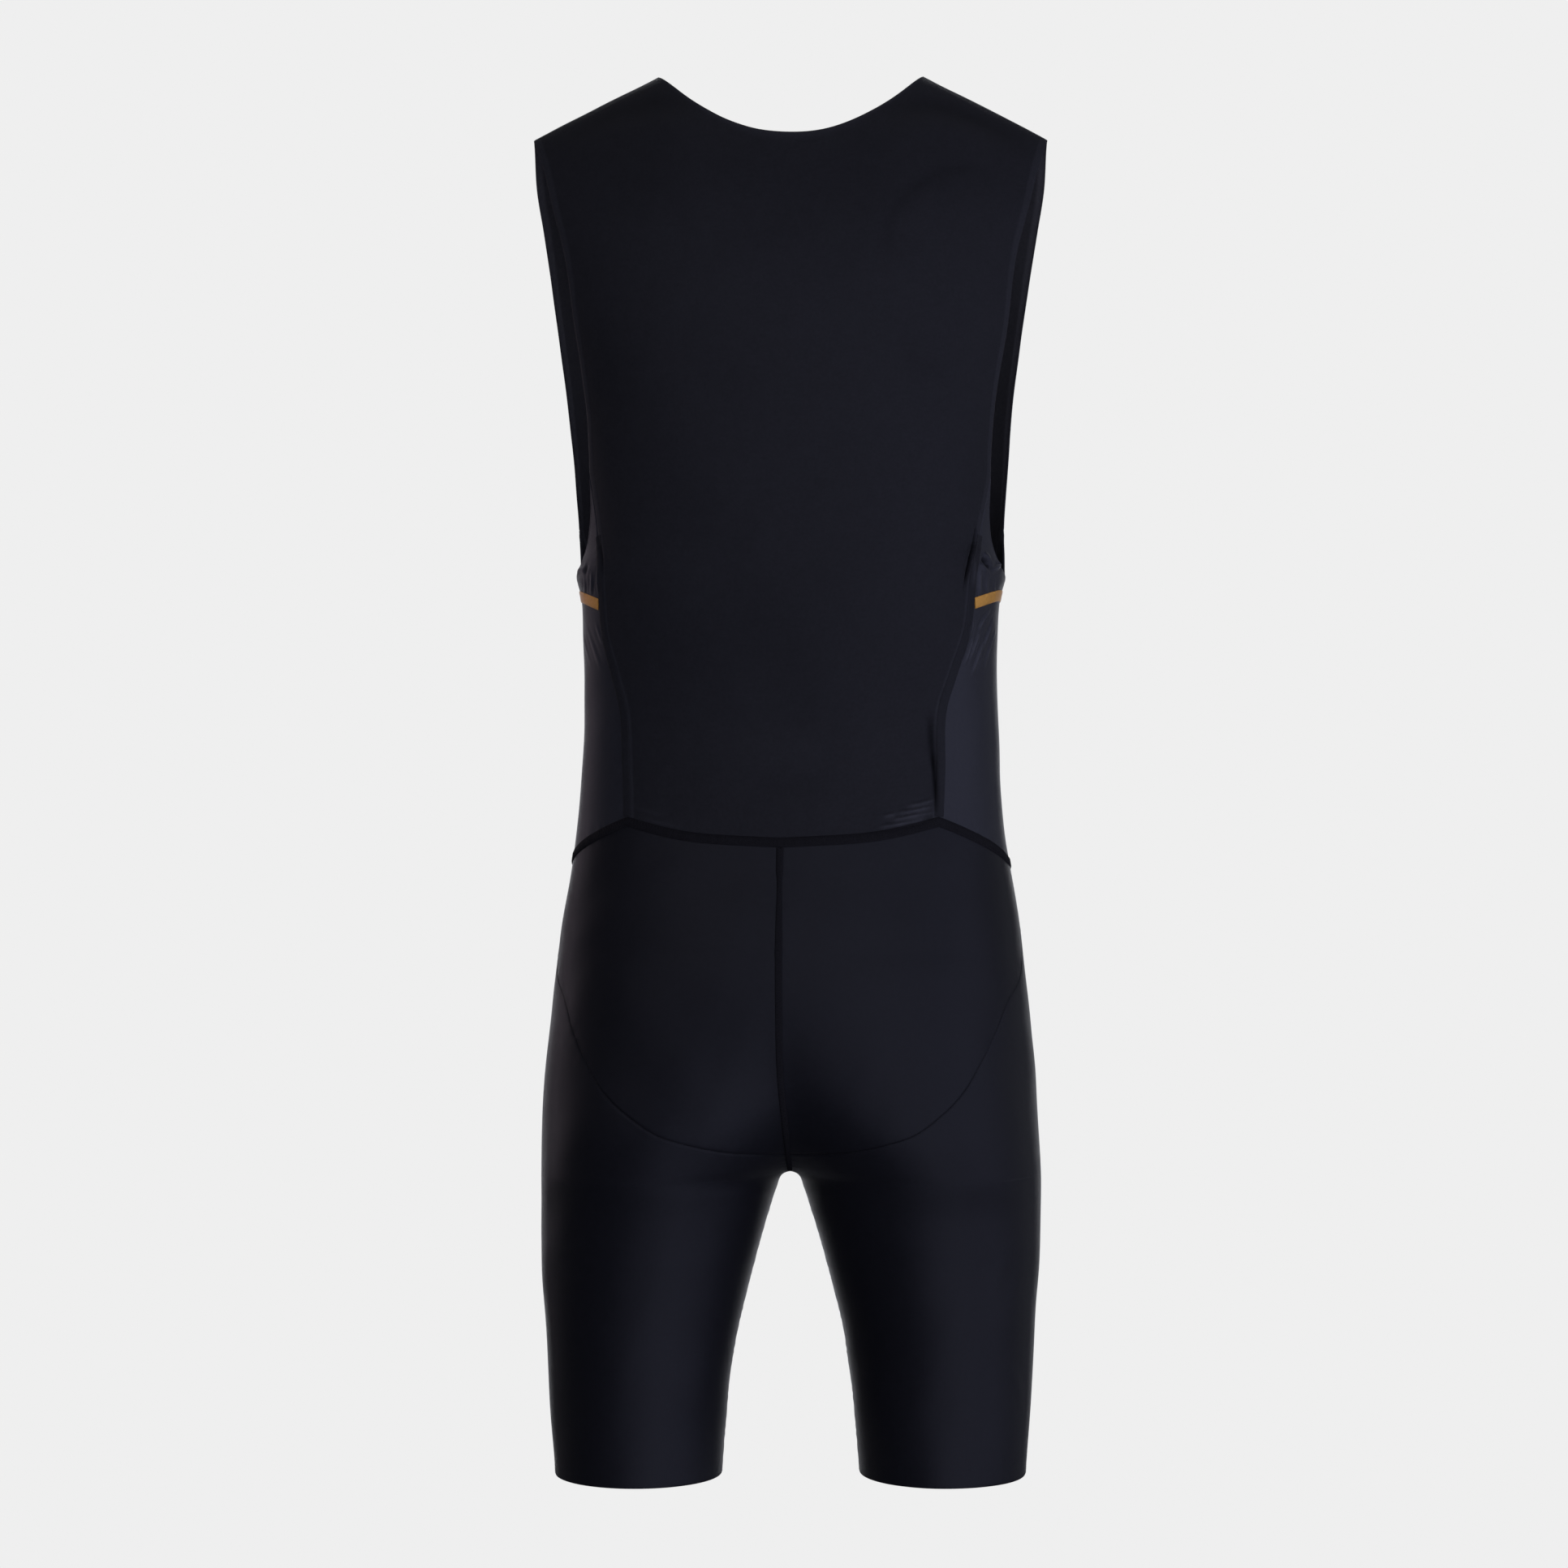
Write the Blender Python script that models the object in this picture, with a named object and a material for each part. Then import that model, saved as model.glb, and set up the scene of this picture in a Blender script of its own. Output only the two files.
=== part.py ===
"""Sleeveless, short-legged athletics bodysuit of stretch cloth, hollow and filled out as it is worn.

Metres, +Z up. The back of the garment faces -Y and the front faces +Y. The origin is the middle of
the shoulder line, level with the two highest points of the neckline.

Every panel is cut from one body form. A place on that form is (share, height): share runs from 0 at
the centre back, through 0.5 at the side, to 1 at the centre front of the right half. Below the crotch
the same share runs once round the leg, from inseam to inseam.
"""

import bisect
import math

import bpy

MM = 0.001

# Cloth, seams and tape
CLOTH_WALL = 1.2 * MM
SEAM_GAP = 0.3 * MM
TAPE_WALL = 1.0 * MM
TAPE_HALF_WIDTH = 3.5 * MM

# Levels of the garment
NECK_HALF_WIDTH = 94 * MM
SHOULDER_TIP_X = 182 * MM
SHOULDER_DROP = 45 * MM
BACK_NECK_DEPTH = 51 * MM
FRONT_NECK_DEPTH = 92 * MM
BACK_NECK_CURVE = 2.1
FRONT_NECK_CURVE = 2.3
CROTCH_Z = -774.5 * MM
HEM_Z = -988 * MM

# Shoulder: how the form rounds over from the ridge, and how level the ridge becomes near the neck
SHOULDER_ROUND_DEPTH = 200 * MM
SHOULDER_ROUND_POWER = 0.6
RIDGE_LEVEL_HALF = 60 * MM

# Outline and depth of the form, in millimetres. Above the armpits the back and the front sheets
# would close on different half widths, which are cut away by the armholes.
SECTION_COLUMNS = ("height", "back_half", "front_half", "back_depth", "front_depth")
SECTIONS = (
    (-45, 203, 207, 105, 103),
    (-104, 194, 210, 105, 103),
    (-133, 184, 206, 105, 103),
    (-184, 171, 190, 105, 103),
    (-219, 162, 181, 105, 104),
    (-272, 152.5, 170.5, 102, 105),
    (-311, 147.5, 161, 99, 105),
    (-333, 147, 155, 97, 104),
    (-354, 152, 152, 95, 103),
    (-370, 148.5, 148.5, 93, 101),
    (-399, 147, 147, 88, 98),
    (-427, 146.4, 146.4, 84, 94),
    (-470, 147.2, 147.2, 81, 90),
    (-514, 149.3, 149.3, 84, 89),
    (-557, 155, 155, 93, 90),
    (-600, 162, 162, 103, 92),
    (-650, 168.3, 168.3, 111, 93),
    (-700, 172.9, 172.9, 113, 93),
    (-740, 175.5, 175.5, 110, 92),
    (-774.5, 176.8, 176.8, 100, 89),
    (-800, 176.6, 176.6, 91, 86),
    (-830, 176.4, 176.4, 84, 82),
    (-888, 173.2, 173.2, 75, 76),
    (-945, 169.5, 169.5, 69, 71),
    (-988, 166.6, 166.6, 66, 67),
)

# Where each half of the form ends towards the middle, in millimetres before the crotch is rounded:
# negative while the halves still run into each other, positive where the legs have parted.
INNER_COLUMNS = ("height", "inner")
INNER_REACH = (
    (-600, -168),
    (-640, -135),
    (-680, -100),
    (-710, -70),
    (-735, -42),
    (-755, -21),
    (-767, -8.5),
    (-774.5, 0),
    (-787, 3.6),
    (-802, 6.8),
    (-830, 13.7),
    (-859, 20.8),
    (-888, 27.6),
    (-917, 32),
    (-945, 34.8),
    (-988, 38),
)
CROTCH_ROUNDING = 12 * MM
ROUNDING_STARTS_Z = -560 * MM
ROUNDING_FULL_Z = -640 * MM

# How far the cloth sits turned on the form, clockwise from above, as (height in millimetres, degrees)
TURNS = (
    (-250, 0), (-310, 0.8), (-372, 4), (-440, 5.5), (-500, 5), (-541, 4.8), (-650, 4.3), (-700, 3.8),
    (-740, 2.2), (-775, 0.8), (-830, 0),
)

# How square a cross-section is (2 is an ellipse): at the chest and at the thigh
BACK_SQUARENESS = (2.3, 2.1)
FRONT_SQUARENESS = (2.4, 2.1)
WAIST_Z = -541 * MM

# Edges and seams, as (half width, height) in millimetres, from the top down
ARMHOLE_BACK = (
    (182, -45), (173.5, -70), (165, -104), (157.5, -133), (150.3, -184), (144.8, -219),
    (141.7, -246), (140, -272), (139.6, -285),
)
ARMHOLE_BACK_LOW = ((139.6, -285), (139, -311), (142, -333), (146.5, -345), (152, -354))
ARMHOLE_FRONT = (
    (182, -45), (182, -75), (178, -104), (174, -133), (167, -184), (162, -219), (157, -272),
    (153.1, -318),
)
ARMHOLE_FRONT_LOW = ((153.1, -318), (152, -333), (151.7, -345), (152, -354))
BACK_SIDE_SEAM = (
    (139.6, -285), (133.7, -321), (130, -352), (128.7, -376), (127, -394), (118, -425), (111, -449),
    (109.5, -488), (108, -527),
)
FRONT_SIDE_SEAM = (
    (153.1, -318), (147, -340), (138, -367), (131, -392), (121, -425), (116, -449), (113, -500),
    (112, -553),
)
SEAT_SEAM_BACK = (
    (0, -757), (45, -752), (83, -742), (107, -727), (124, -711), (136, -692), (147, -670),
    (155, -650), (164, -625),
)
SEAT_CORNER_Z = -680 * MM

# Waist seam, as (share of the way round, height in millimetres). It has a corner at each back side seam.
WAIST_BACK = ((0, -541), (0.12, -537), (0.239, -527))
WAIST_FRONT = ((0.239, -527), (0.37, -543), (0.5, -556), (0.62, -560), (0.8, -555), (1, -548))
SEAT_SEAM_TOP_SHARE = 0.6

# Bright band across each side panel, below the armhole: its level at the back seam and its rise to
# the middle of the side, from where it runs level to the front seam
BAND_BOTTOM_Z = -380.5 * MM
BAND_TOP_Z = -372.5 * MM
BAND_RISE = 8 * MM

# Gap at the end of a tape, and the most of a short step that a tape may reach over
TAPE_CLEARANCE = 0.4 * MM
SHORT_STEP_SHARE = 0.45

# How finely each stretch is divided
NECK_STEPS = 5
SHOULDER_STEPS = 3
ARMHOLE_ROW_SHARES = (0.89, 0.78, 0.67, 0.55, 0.44, 0.33, 0.22, 0.125, 0.055, 0.015, 0)
LOW_SIDE_ROWS = 6
ARMPIT_ROWS = 4
SIDE_BACK_STEPS = 4
SIDE_FRONT_STEPS = 4
SEAT_ROWS = 9
CROTCH_ROWS = 8
LEG_ROWS = 9
LEG_ROW_GROWTH = 1.6
SIDE_TAPE_ROWS = 11
MEASURE_STEPS = 160

# Finish
SUIT_NAME = "athletics_bodysuit"
FINISH_COLUMNS = ("colour", "roughness", "metallic")
CLOTH_FINISH = ((0.012, 0.012, 0.018), 0.4, 0.0)
TAPE_FINISH = ((0.006, 0.006, 0.009), 0.6, 0.0)
BAND_FINISH = ((0.45, 0.22, 0.05), 0.35, 0.5)
RIM_ANGLE = 50


class Profile:
    """A smooth curve through pairs of (position, value), held level past its ends."""

    def __init__(self, pairs):
        pairs = sorted(pairs)
        self.at = [pair[0] for pair in pairs]
        self.value = [pair[1] for pair in pairs]
        rises = [
            (self.value[i + 1] - self.value[i]) / (self.at[i + 1] - self.at[i])
            for i in range(len(pairs) - 1)
        ]
        middle = [(low + high) / 2 for low, high in zip(rises, rises[1:])]
        self.slope = [rises[0]] + middle + [rises[-1]]

    def __call__(self, position):
        position = min(max(position, self.at[0]), self.at[-1])
        i = min(bisect.bisect_right(self.at, position), len(self.at) - 1) - 1
        step = self.at[i + 1] - self.at[i]
        t = (position - self.at[i]) / step
        return (
            self.value[i] * (1 + 2 * t) * (1 - t) ** 2
            + self.value[i + 1] * (3 - 2 * t) * t * t
            + self.slope[i] * step * t * (1 - t) ** 2
            - self.slope[i + 1] * step * t * t * (1 - t)
        )


def column_profile(rows, columns, name):
    """One named column of a table in millimetres, as a smooth curve over height in metres."""
    index = columns.index(name)
    return Profile([(row[columns.index("height")] * MM, row[index] * MM) for row in rows])


def width_profile(rows):
    """The half width of an edge or a seam over height, from a table of half widths and heights."""
    return Profile([(z * MM, x * MM) for x, z in rows])


BACK_HALF = column_profile(SECTIONS, SECTION_COLUMNS, "back_half")
FRONT_HALF = column_profile(SECTIONS, SECTION_COLUMNS, "front_half")
BACK_DEPTH = column_profile(SECTIONS, SECTION_COLUMNS, "back_depth")
FRONT_DEPTH = column_profile(SECTIONS, SECTION_COLUMNS, "front_depth")
INNER = column_profile(INNER_REACH, INNER_COLUMNS, "inner")
TURN = Profile([(height * MM, math.radians(turn)) for height, turn in TURNS])


def ease(value, start, end):
    """0 at start, 1 at end, with a soft change between."""
    t = min(max((value - start) / (end - start), 0.0), 1.0)
    return t * t * (3 - 2 * t)


def ridge_height(x):
    """Height of the shoulder line, carried level across the neck."""
    slope = SHOULDER_DROP / (SHOULDER_TIP_X - NECK_HALF_WIDTH)
    x = abs(x)
    if x >= NECK_HALF_WIDTH:
        return -slope * (x - NECK_HALF_WIDTH)
    bend = NECK_HALF_WIDTH - RIDGE_LEVEL_HALF
    past = NECK_HALF_WIDTH - max(x, RIDGE_LEVEL_HALF)
    return slope * (past - past * past / (2 * bend))


def section(z, front):
    """Cross-section of the right half at a height: rounding, middle, reach, depth and squareness."""
    rounding = CROTCH_ROUNDING * ease(z, ROUNDING_STARTS_Z, ROUNDING_FULL_Z)
    half = (FRONT_HALF if front else BACK_HALF)(z)
    depth = (FRONT_DEPTH if front else BACK_DEPTH)(z)
    outer = math.hypot(half, rounding) - rounding
    inner = -outer if z > INNER_REACH[0][0] * MM else max(INNER(z), -outer)
    chest, thigh = FRONT_SQUARENESS if front else BACK_SQUARENESS
    squareness = chest + (thigh - chest) * ease(z, WAIST_Z, CROTCH_Z)
    return rounding, (outer + inner) / 2, (outer - inner) / 2, depth, squareness


def start_angle(z, front):
    """Angle, before the back or past the front, at which the half meets the middle plane or inseam."""
    _, middle, reach, _, squareness = section(z, front)
    return math.asin(min(max(middle, 0.0) / reach, 1.0) ** (squareness / 2))


def form_point(share, z):
    """Point of the right half of the body form at a share of the way round and a height."""
    back_start = start_angle(z, False)
    angle = share * (math.pi + back_start + start_angle(z, True)) - back_start
    front = angle > math.pi / 2
    rounding, middle, reach, depth, squareness = section(z, front)
    across, along = math.sin(angle), math.cos(angle)
    flat_x = middle + reach * math.copysign(abs(across) ** (2 / squareness), across)
    x = math.sqrt(max((max(flat_x, 0.0) + rounding) ** 2 - rounding ** 2, 0.0))
    drop = min(max(ridge_height(x) - z, 0.0) / SHOULDER_ROUND_DEPTH, 1.0)
    over_shoulder = (1 - (1 - drop) ** 2) ** SHOULDER_ROUND_POWER
    y = math.copysign(depth * abs(along) ** (2 / squareness) * over_shoulder, -along)
    return x, y, z


def share_at(x, z, front):
    """Share of the way round at which the back or the front of the form is x wide."""
    rounding, middle, reach, _, squareness = section(z, front)
    ratio = (math.hypot(x, rounding) - rounding - middle) / reach
    angle = math.asin(math.copysign(min(abs(ratio), 1.0) ** (squareness / 2), ratio))
    angle = math.pi - angle if front else angle
    back_start = start_angle(z, False)
    return (angle + back_start) / (math.pi + back_start + start_angle(z, True))


def add(a, b, scale=1.0):
    return tuple(p + q * scale for p, q in zip(a, b))


def subtract(a, b):
    return tuple(p - q for p, q in zip(a, b))


def dot(a, b):
    return sum(p * q for p, q in zip(a, b))


def unit(a):
    length = math.sqrt(dot(a, a))
    return tuple(p / length for p in a)


def mix(a, b, t):
    return tuple(p + (q - p) * t for p, q in zip(a, b))


def form_normal(share, z):
    """Outward direction of the form, kept in the plane of the seam at the centre and the inseam."""
    share_step, z_step = 1e-4, 0.02 * MM
    low, high = max(share - share_step, 0.0), min(share + share_step, 1.0)
    round_way = subtract(form_point(high, z), form_point(low, z))
    up_way = subtract(form_point(share, z + z_step), form_point(share, z - z_step))
    normal = [
        round_way[1] * up_way[2] - round_way[2] * up_way[1],
        round_way[2] * up_way[0] - round_way[0] * up_way[2],
        round_way[0] * up_way[1] - round_way[1] * up_way[0],
    ]
    if low == 0.0 or high == 1.0:
        if abs(z - CROTCH_Z) < z_step:
            return 0.0, 0.0, -1.0
        normal[0 if z > CROTCH_Z else 1] = 0.0
    return unit(normal)


def smooth_line(points):
    """A smooth line through points of two numbers, as a function of the share of its length."""
    run = [0.0]
    for a, b in zip(points, points[1:]):
        run.append(run[-1] + math.dist(a, b))
    first = Profile([(length, point[0]) for length, point in zip(run, points)])
    second = Profile([(length, point[1]) for length, point in zip(run, points)])
    return lambda t: (first(t * run[-1]), second(t * run[-1]))


def edge_line(rows, front):
    """A line of places on the form, from a table of half widths and heights."""
    line = smooth_line([(x * MM, z * MM) for x, z in rows])

    def place(t):
        x, z = line(t)
        return share_at(x, z, front), z

    return place


def joined_lines(*lines):
    """Several lines end to end, as one function of 0 to 1."""
    def place(t):
        index = min(int(t * len(lines)), len(lines) - 1)
        return lines[index](t * len(lines) - index)

    return place


def even_steps(line, count, start=0.0, end=1.0):
    """Places that divide a line on the form into steps of equal length."""
    shares = [start + (end - start) * i / MEASURE_STEPS for i in range(MEASURE_STEPS + 1)]
    spots = [form_point(*line(t)) for t in shares]
    run = [0.0]
    for a, b in zip(spots, spots[1:]):
        run.append(run[-1] + math.dist(a, b))
    places = []
    for step in range(count + 1):
        wanted = run[-1] * step / count
        k = min(max(bisect.bisect_left(run, wanted), 1), MEASURE_STEPS)
        part = (wanted - run[k - 1]) / (run[k] - run[k - 1])
        places.append(line(shares[k - 1] + (shares[k] - shares[k - 1]) * part))
    return places


def filled_patch(left, right, bottom, top, rise=None, reach=None):
    """Rows of places that fill four sides, from the bottom row to the top row."""
    rows, columns = len(left) - 1, len(bottom) - 1
    rise = rise or [i / rows for i in range(rows + 1)]
    reach = reach or [j / columns for j in range(columns + 1)]
    patch = []
    for i, v in enumerate(rise):
        row = []
        for j, u in enumerate(reach):
            across = mix(left[i], right[i], u)
            upward = mix(bottom[j], top[j], v)
            corners = mix(mix(bottom[0], bottom[-1], u), mix(top[0], top[-1], u), v)
            row.append(subtract(add(across, upward), corners))
        patch.append(row)
    return patch


def placed(patch):
    """Turns a patch of places into rows of (point, outward direction)."""
    return [[(form_point(*place), form_normal(*place)) for place in row] for row in patch]


def pull_back_edge(edge, inner):
    """Moves the points of an edge half a seam gap towards the next line, square to the edge."""
    moved = []
    for k, (point, normal) in enumerate(edge):
        before = edge[max(k - 1, 0)][0]
        after = edge[min(k + 1, len(edge) - 1)][0]
        run = unit(subtract(after, before))
        inward = subtract(inner[k][0], point)
        inward = add(inward, run, -dot(inward, run))
        moved.append((add(point, unit(inward), SEAM_GAP / 2), normal))
    return moved


def with_seam_gaps(grid, bottom=False, top=False, left=False, right=False):
    """Pulls the sewn edges of a panel back by half a seam gap."""
    if bottom:
        grid[0] = pull_back_edge(grid[0], grid[1])
    if top:
        grid[-1] = pull_back_edge(grid[-1], grid[-2])
    for sewn, edge, inner in ((left, 0, 1), (right, -1, -2)):
        if sewn:
            line = pull_back_edge([row[edge] for row in grid], [row[inner] for row in grid])
            for row, spot in zip(grid, line):
                row[edge] = spot
    return grid


def other_side(spots):
    """The same spots on the other half of the body, in the same order."""
    return [((-p[0], p[1], p[2]), (-n[0], n[1], n[2])) for p, n in spots]


def mirrored(grid):
    """The same rows on the other half of the body, still running the same way round."""
    return [other_side(row)[::-1] for row in grid]


# Seams that two or more panels share

WAIST_BACK_LINE = Profile([(share, z * MM) for share, z in WAIST_BACK])
WAIST_FRONT_LINE = Profile([(share, z * MM) for share, z in WAIST_FRONT])
BACK_CORNER_SHARE = share_at(BACK_SIDE_SEAM[-1][0] * MM, BACK_SIDE_SEAM[-1][1] * MM, False)
FRONT_CORNER_SHARE = share_at(FRONT_SIDE_SEAM[-1][0] * MM, FRONT_SIDE_SEAM[-1][1] * MM, True)


def waist_place(share):
    """Place on the waist seam at a share of the way round."""
    scaled = share * WAIST_BACK[-1][0] / BACK_CORNER_SHARE
    if share <= BACK_CORNER_SHARE:
        return share, WAIST_BACK_LINE(scaled)
    past = (share - BACK_CORNER_SHARE) / (1 - BACK_CORNER_SHARE)
    first = WAIST_FRONT[0][0]
    return share, WAIST_FRONT_LINE(first + (1 - first) * past)


def waist_steps(start, end, count):
    return even_steps(lambda t: waist_place(start + (end - start) * t), count)


WAIST_BACK_STEPS = waist_steps(0, BACK_CORNER_SHARE, NECK_STEPS + SHOULDER_STEPS)
WAIST_SIDE_BACK_STEPS = waist_steps(BACK_CORNER_SHARE, SEAT_SEAM_TOP_SHARE, SIDE_BACK_STEPS)
WAIST_SIDE_FRONT_STEPS = waist_steps(SEAT_SEAM_TOP_SHARE, FRONT_CORNER_SHARE, SIDE_FRONT_STEPS)
WAIST_FRONT_STEPS = waist_steps(FRONT_CORNER_SHARE, 1, NECK_STEPS + SHOULDER_STEPS)


def side_seam_steps(rows, front):
    """Places up a side seam: to the band, across it, and on to the armhole."""
    x_at = width_profile(rows)
    bottom = waist_place(FRONT_CORNER_SHARE if front else BACK_CORNER_SHARE)[1]
    top = rows[0][1] * MM
    rise = BAND_RISE if front else 0.0
    low, high = BAND_BOTTOM_Z + rise, BAND_TOP_Z + rise
    heights = [bottom + (low - bottom) * i / LOW_SIDE_ROWS for i in range(LOW_SIDE_ROWS + 1)]
    heights += [high + (top - high) * i / ARMPIT_ROWS for i in range(ARMPIT_ROWS + 1)]
    return [(share_at(x_at(z), z, front), z) for z in heights]


BACK_SIDE_STEPS = side_seam_steps(BACK_SIDE_SEAM, False)
FRONT_SIDE_STEPS = side_seam_steps(FRONT_SIDE_SEAM, True)


def seat_seam_line():
    """The curved seam under the seat, from the centre back to the waist just past the side."""
    places = [(share_at(x * MM, z * MM, False), z * MM) for x, z in SEAT_SEAM_BACK]
    places += [waist_place(SEAT_SEAM_TOP_SHARE)]
    shares = Profile(list(enumerate(place[0] for place in places)))
    heights = Profile(list(enumerate(place[1] for place in places)))
    last = len(places) - 1
    return lambda t: (shares(t * last), heights(t * last))


def seat_seam_steps():
    """Places along the seat seam: under the seat to its corner, then up to the waist."""
    line = seat_seam_line()
    corner = next(i for i in range(MEASURE_STEPS) if line(i / MEASURE_STEPS)[1] > SEAT_CORNER_Z)
    corner /= MEASURE_STEPS
    under = even_steps(line, NECK_STEPS + SHOULDER_STEPS + SIDE_BACK_STEPS, 0, corner)
    outside = even_steps(line, SEAT_ROWS, corner, 1)
    return under, outside


SEAT_UNDER_STEPS, SEAT_OUTSIDE_STEPS = seat_seam_steps()


def centre_steps(share, top, bottom, count):
    """Places down the centre seam of the lower body."""
    return even_steps(lambda t: (share, top + (bottom - top) * t), count)


# Panels of the right half

def upper_half(front):
    """Right half of the back or the front panel, from the waist seam to the neckline and shoulder."""
    seam = FRONT_SIDE_STEPS if front else BACK_SIDE_STEPS
    x_at = width_profile(FRONT_SIDE_SEAM if front else BACK_SIDE_SEAM)
    arm_x_at = width_profile(ARMHOLE_FRONT if front else ARMHOLE_BACK)
    waist = WAIST_FRONT_STEPS[::-1] if front else WAIST_BACK_STEPS
    neck_depth = FRONT_NECK_DEPTH if front else BACK_NECK_DEPTH
    neck_curve = FRONT_NECK_CURVE if front else BACK_NECK_CURVE

    right = [(x_at(z), z) for _, z in seam]
    seam_top = seam[-1][1]
    for share in ARMHOLE_ROW_SHARES:
        z = -SHOULDER_DROP + share * (seam_top + SHOULDER_DROP)
        right.append((arm_x_at(z), z))
    bottom = [form_point(*place)[::2] for place in waist]
    neck_shares = [math.sin(math.pi / 2 * j / NECK_STEPS) for j in range(NECK_STEPS)]
    top = [(NECK_HALF_WIDTH * share, -neck_depth * (1 - share ** neck_curve)) for share in neck_shares]
    for j in range(SHOULDER_STEPS + 1):
        x = NECK_HALF_WIDTH + (SHOULDER_TIP_X - NECK_HALF_WIDTH) * j / SHOULDER_STEPS
        top.append((x, ridge_height(x)))
    rise = [(z - right[0][1]) / (right[-1][1] - right[0][1]) for _, z in right]
    left = [(0.0, bottom[0][1] + (top[0][1] - bottom[0][1]) * v) for v in rise]
    reach = [x / SHOULDER_TIP_X for x, _ in top]
    flat = filled_patch(left, right, bottom, top, rise, reach)
    return placed([[(share_at(x, z, front), z) for x, z in row] for row in flat])


def back_panel():
    """The back panel, from its left edge to its right edge."""
    half = upper_half(False)
    full = [left[:-1] + right for left, right in zip(mirrored(half), half)]
    full = with_seam_gaps(full, bottom=True, top=True, left=True, right=True)
    return with_rows_at(full, TAPE_HALF_WIDTH, bottom=True)


def front_panel():
    """The front panel, from its right edge round to its left edge."""
    half = [row[::-1] for row in upper_half(True)]
    full = [right[:-1] + left for left, right in zip(mirrored(half), half)]
    full = with_seam_gaps(full, bottom=True, top=True, left=True, right=True)
    return with_rows_at(full, TAPE_HALF_WIDTH, bottom=True)


def side_half():
    """Right side panel: from the waist seam up to the bottom of the armhole."""
    waist = WAIST_SIDE_BACK_STEPS + WAIST_SIDE_FRONT_STEPS[1:]
    columns = len(waist) - 1
    armhole = joined_lines(
        edge_line(ARMHOLE_BACK_LOW, False), lambda t: edge_line(ARMHOLE_FRONT_LOW, True)(1 - t)
    )
    armhole_steps = even_steps(armhole, columns)

    def band_line(z):
        start = share_at(width_profile(BACK_SIDE_SEAM)(z), z, False)
        front_z = z + BAND_RISE
        end = share_at(width_profile(FRONT_SIDE_SEAM)(front_z), front_z, True)

        def place(t):
            return start + (end - start) * t, z + BAND_RISE * math.sin(math.pi / 2 * min(2 * t, 1.0))

        return even_steps(place, columns)

    band_bottom, band_top = band_line(BAND_BOTTOM_Z), band_line(BAND_TOP_Z)
    low = filled_patch(
        BACK_SIDE_STEPS[:LOW_SIDE_ROWS + 1], FRONT_SIDE_STEPS[:LOW_SIDE_ROWS + 1], waist, band_bottom
    )
    high = filled_patch(
        BACK_SIDE_STEPS[LOW_SIDE_ROWS + 1:], FRONT_SIDE_STEPS[LOW_SIDE_ROWS + 1:],
        band_top, armhole_steps,
    )
    grid = with_seam_gaps(placed(low + high), bottom=True, left=True, right=True)
    return with_rows_at(grid, TAPE_HALF_WIDTH, bottom=True)


def seat_half():
    """Right seat panel: from the seat seam up to the waist seam."""
    waist = WAIST_BACK_STEPS + WAIST_SIDE_BACK_STEPS[1:]
    centre = centre_steps(0, SEAT_SEAM_BACK[0][1] * MM, waist[0][1], SEAT_ROWS)
    patch = filled_patch(centre, SEAT_OUTSIDE_STEPS, SEAT_UNDER_STEPS, waist)
    grid = with_seam_gaps(placed(patch), bottom=True, top=True, left=True, right=True)
    return with_rows_at(grid, TAPE_HALF_WIDTH, top=True)


def leg_half():
    """Right leg panel: round the leg from inseam to inseam, and up the side and front to the waist."""
    waist = WAIST_SIDE_FRONT_STEPS + WAIST_FRONT_STEPS[1:]
    top = SEAT_UNDER_STEPS + SEAT_OUTSIDE_STEPS[1:] + waist[1:]
    columns = len(top) - 1
    ring = [(j / columns, CROTCH_Z) for j in range(columns + 1)]
    back_rise = centre_steps(0, CROTCH_Z, top[0][1], CROTCH_ROWS)
    front_rise = centre_steps(1, CROTCH_Z, top[-1][1], CROTCH_ROWS)
    upper = filled_patch(back_rise, front_rise, ring, top)
    drops = [(i / LEG_ROWS) ** LEG_ROW_GROWTH for i in range(LEG_ROWS, 0, -1)]
    lower = [
        [(j / columns, CROTCH_Z + (HEM_Z - CROTCH_Z) * drop) for j in range(columns + 1)]
        for drop in drops
    ]
    grid = with_seam_gaps(placed(lower + upper), top=True, left=True, right=True)
    return with_rows_at(grid, TAPE_HALF_WIDTH, top=True)


# Tapes and bands, which lie on the panels and are made from their points

def along(spots, distance):
    """The spot a given way along a line of (point, direction), or half a step where it is short."""
    (start, start_normal), (end, end_normal) = spots[0], spots[1]
    t = min(distance / math.dist(start, end), SHORT_STEP_SHARE)
    return mix(start, end, t), unit(mix(start_normal, end_normal, t))


def with_rows_at(grid, distance, bottom=False, top=False):
    """The grid with a further row let in at a distance from its bottom or its top."""
    if bottom:
        grid = grid[:1] + [[along(pair, distance) for pair in zip(grid[0], grid[1])]] + grid[1:]
    if top:
        grid = grid[:-1] + [[along(pair, distance) for pair in zip(grid[-1], grid[-2])]] + grid[-1:]
    return grid


def with_columns_at(grid, distance, left=False, right=False):
    """The grid with a further column let in at a distance from its left or its right edge."""
    turned = [list(line) for line in zip(*grid)]
    turned = with_rows_at(turned, distance, left, right)
    return [list(line) for line in zip(*turned)]


def halfway(first, second):
    """The spot halfway between two spots."""
    return mix(first[0], second[0], 0.5), unit(mix(first[1], second[1], 0.5))


def tape_over(first_side, second_side):
    """Rows of a tape over a seam, from each side's spots on the seam and a tape's reach from it."""
    rows = []
    for (first_edge, first_reach), (second_edge, second_reach) in zip(first_side, second_side):
        rows.append([first_reach, halfway(first_edge, second_edge), second_reach])
    return rows


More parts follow.
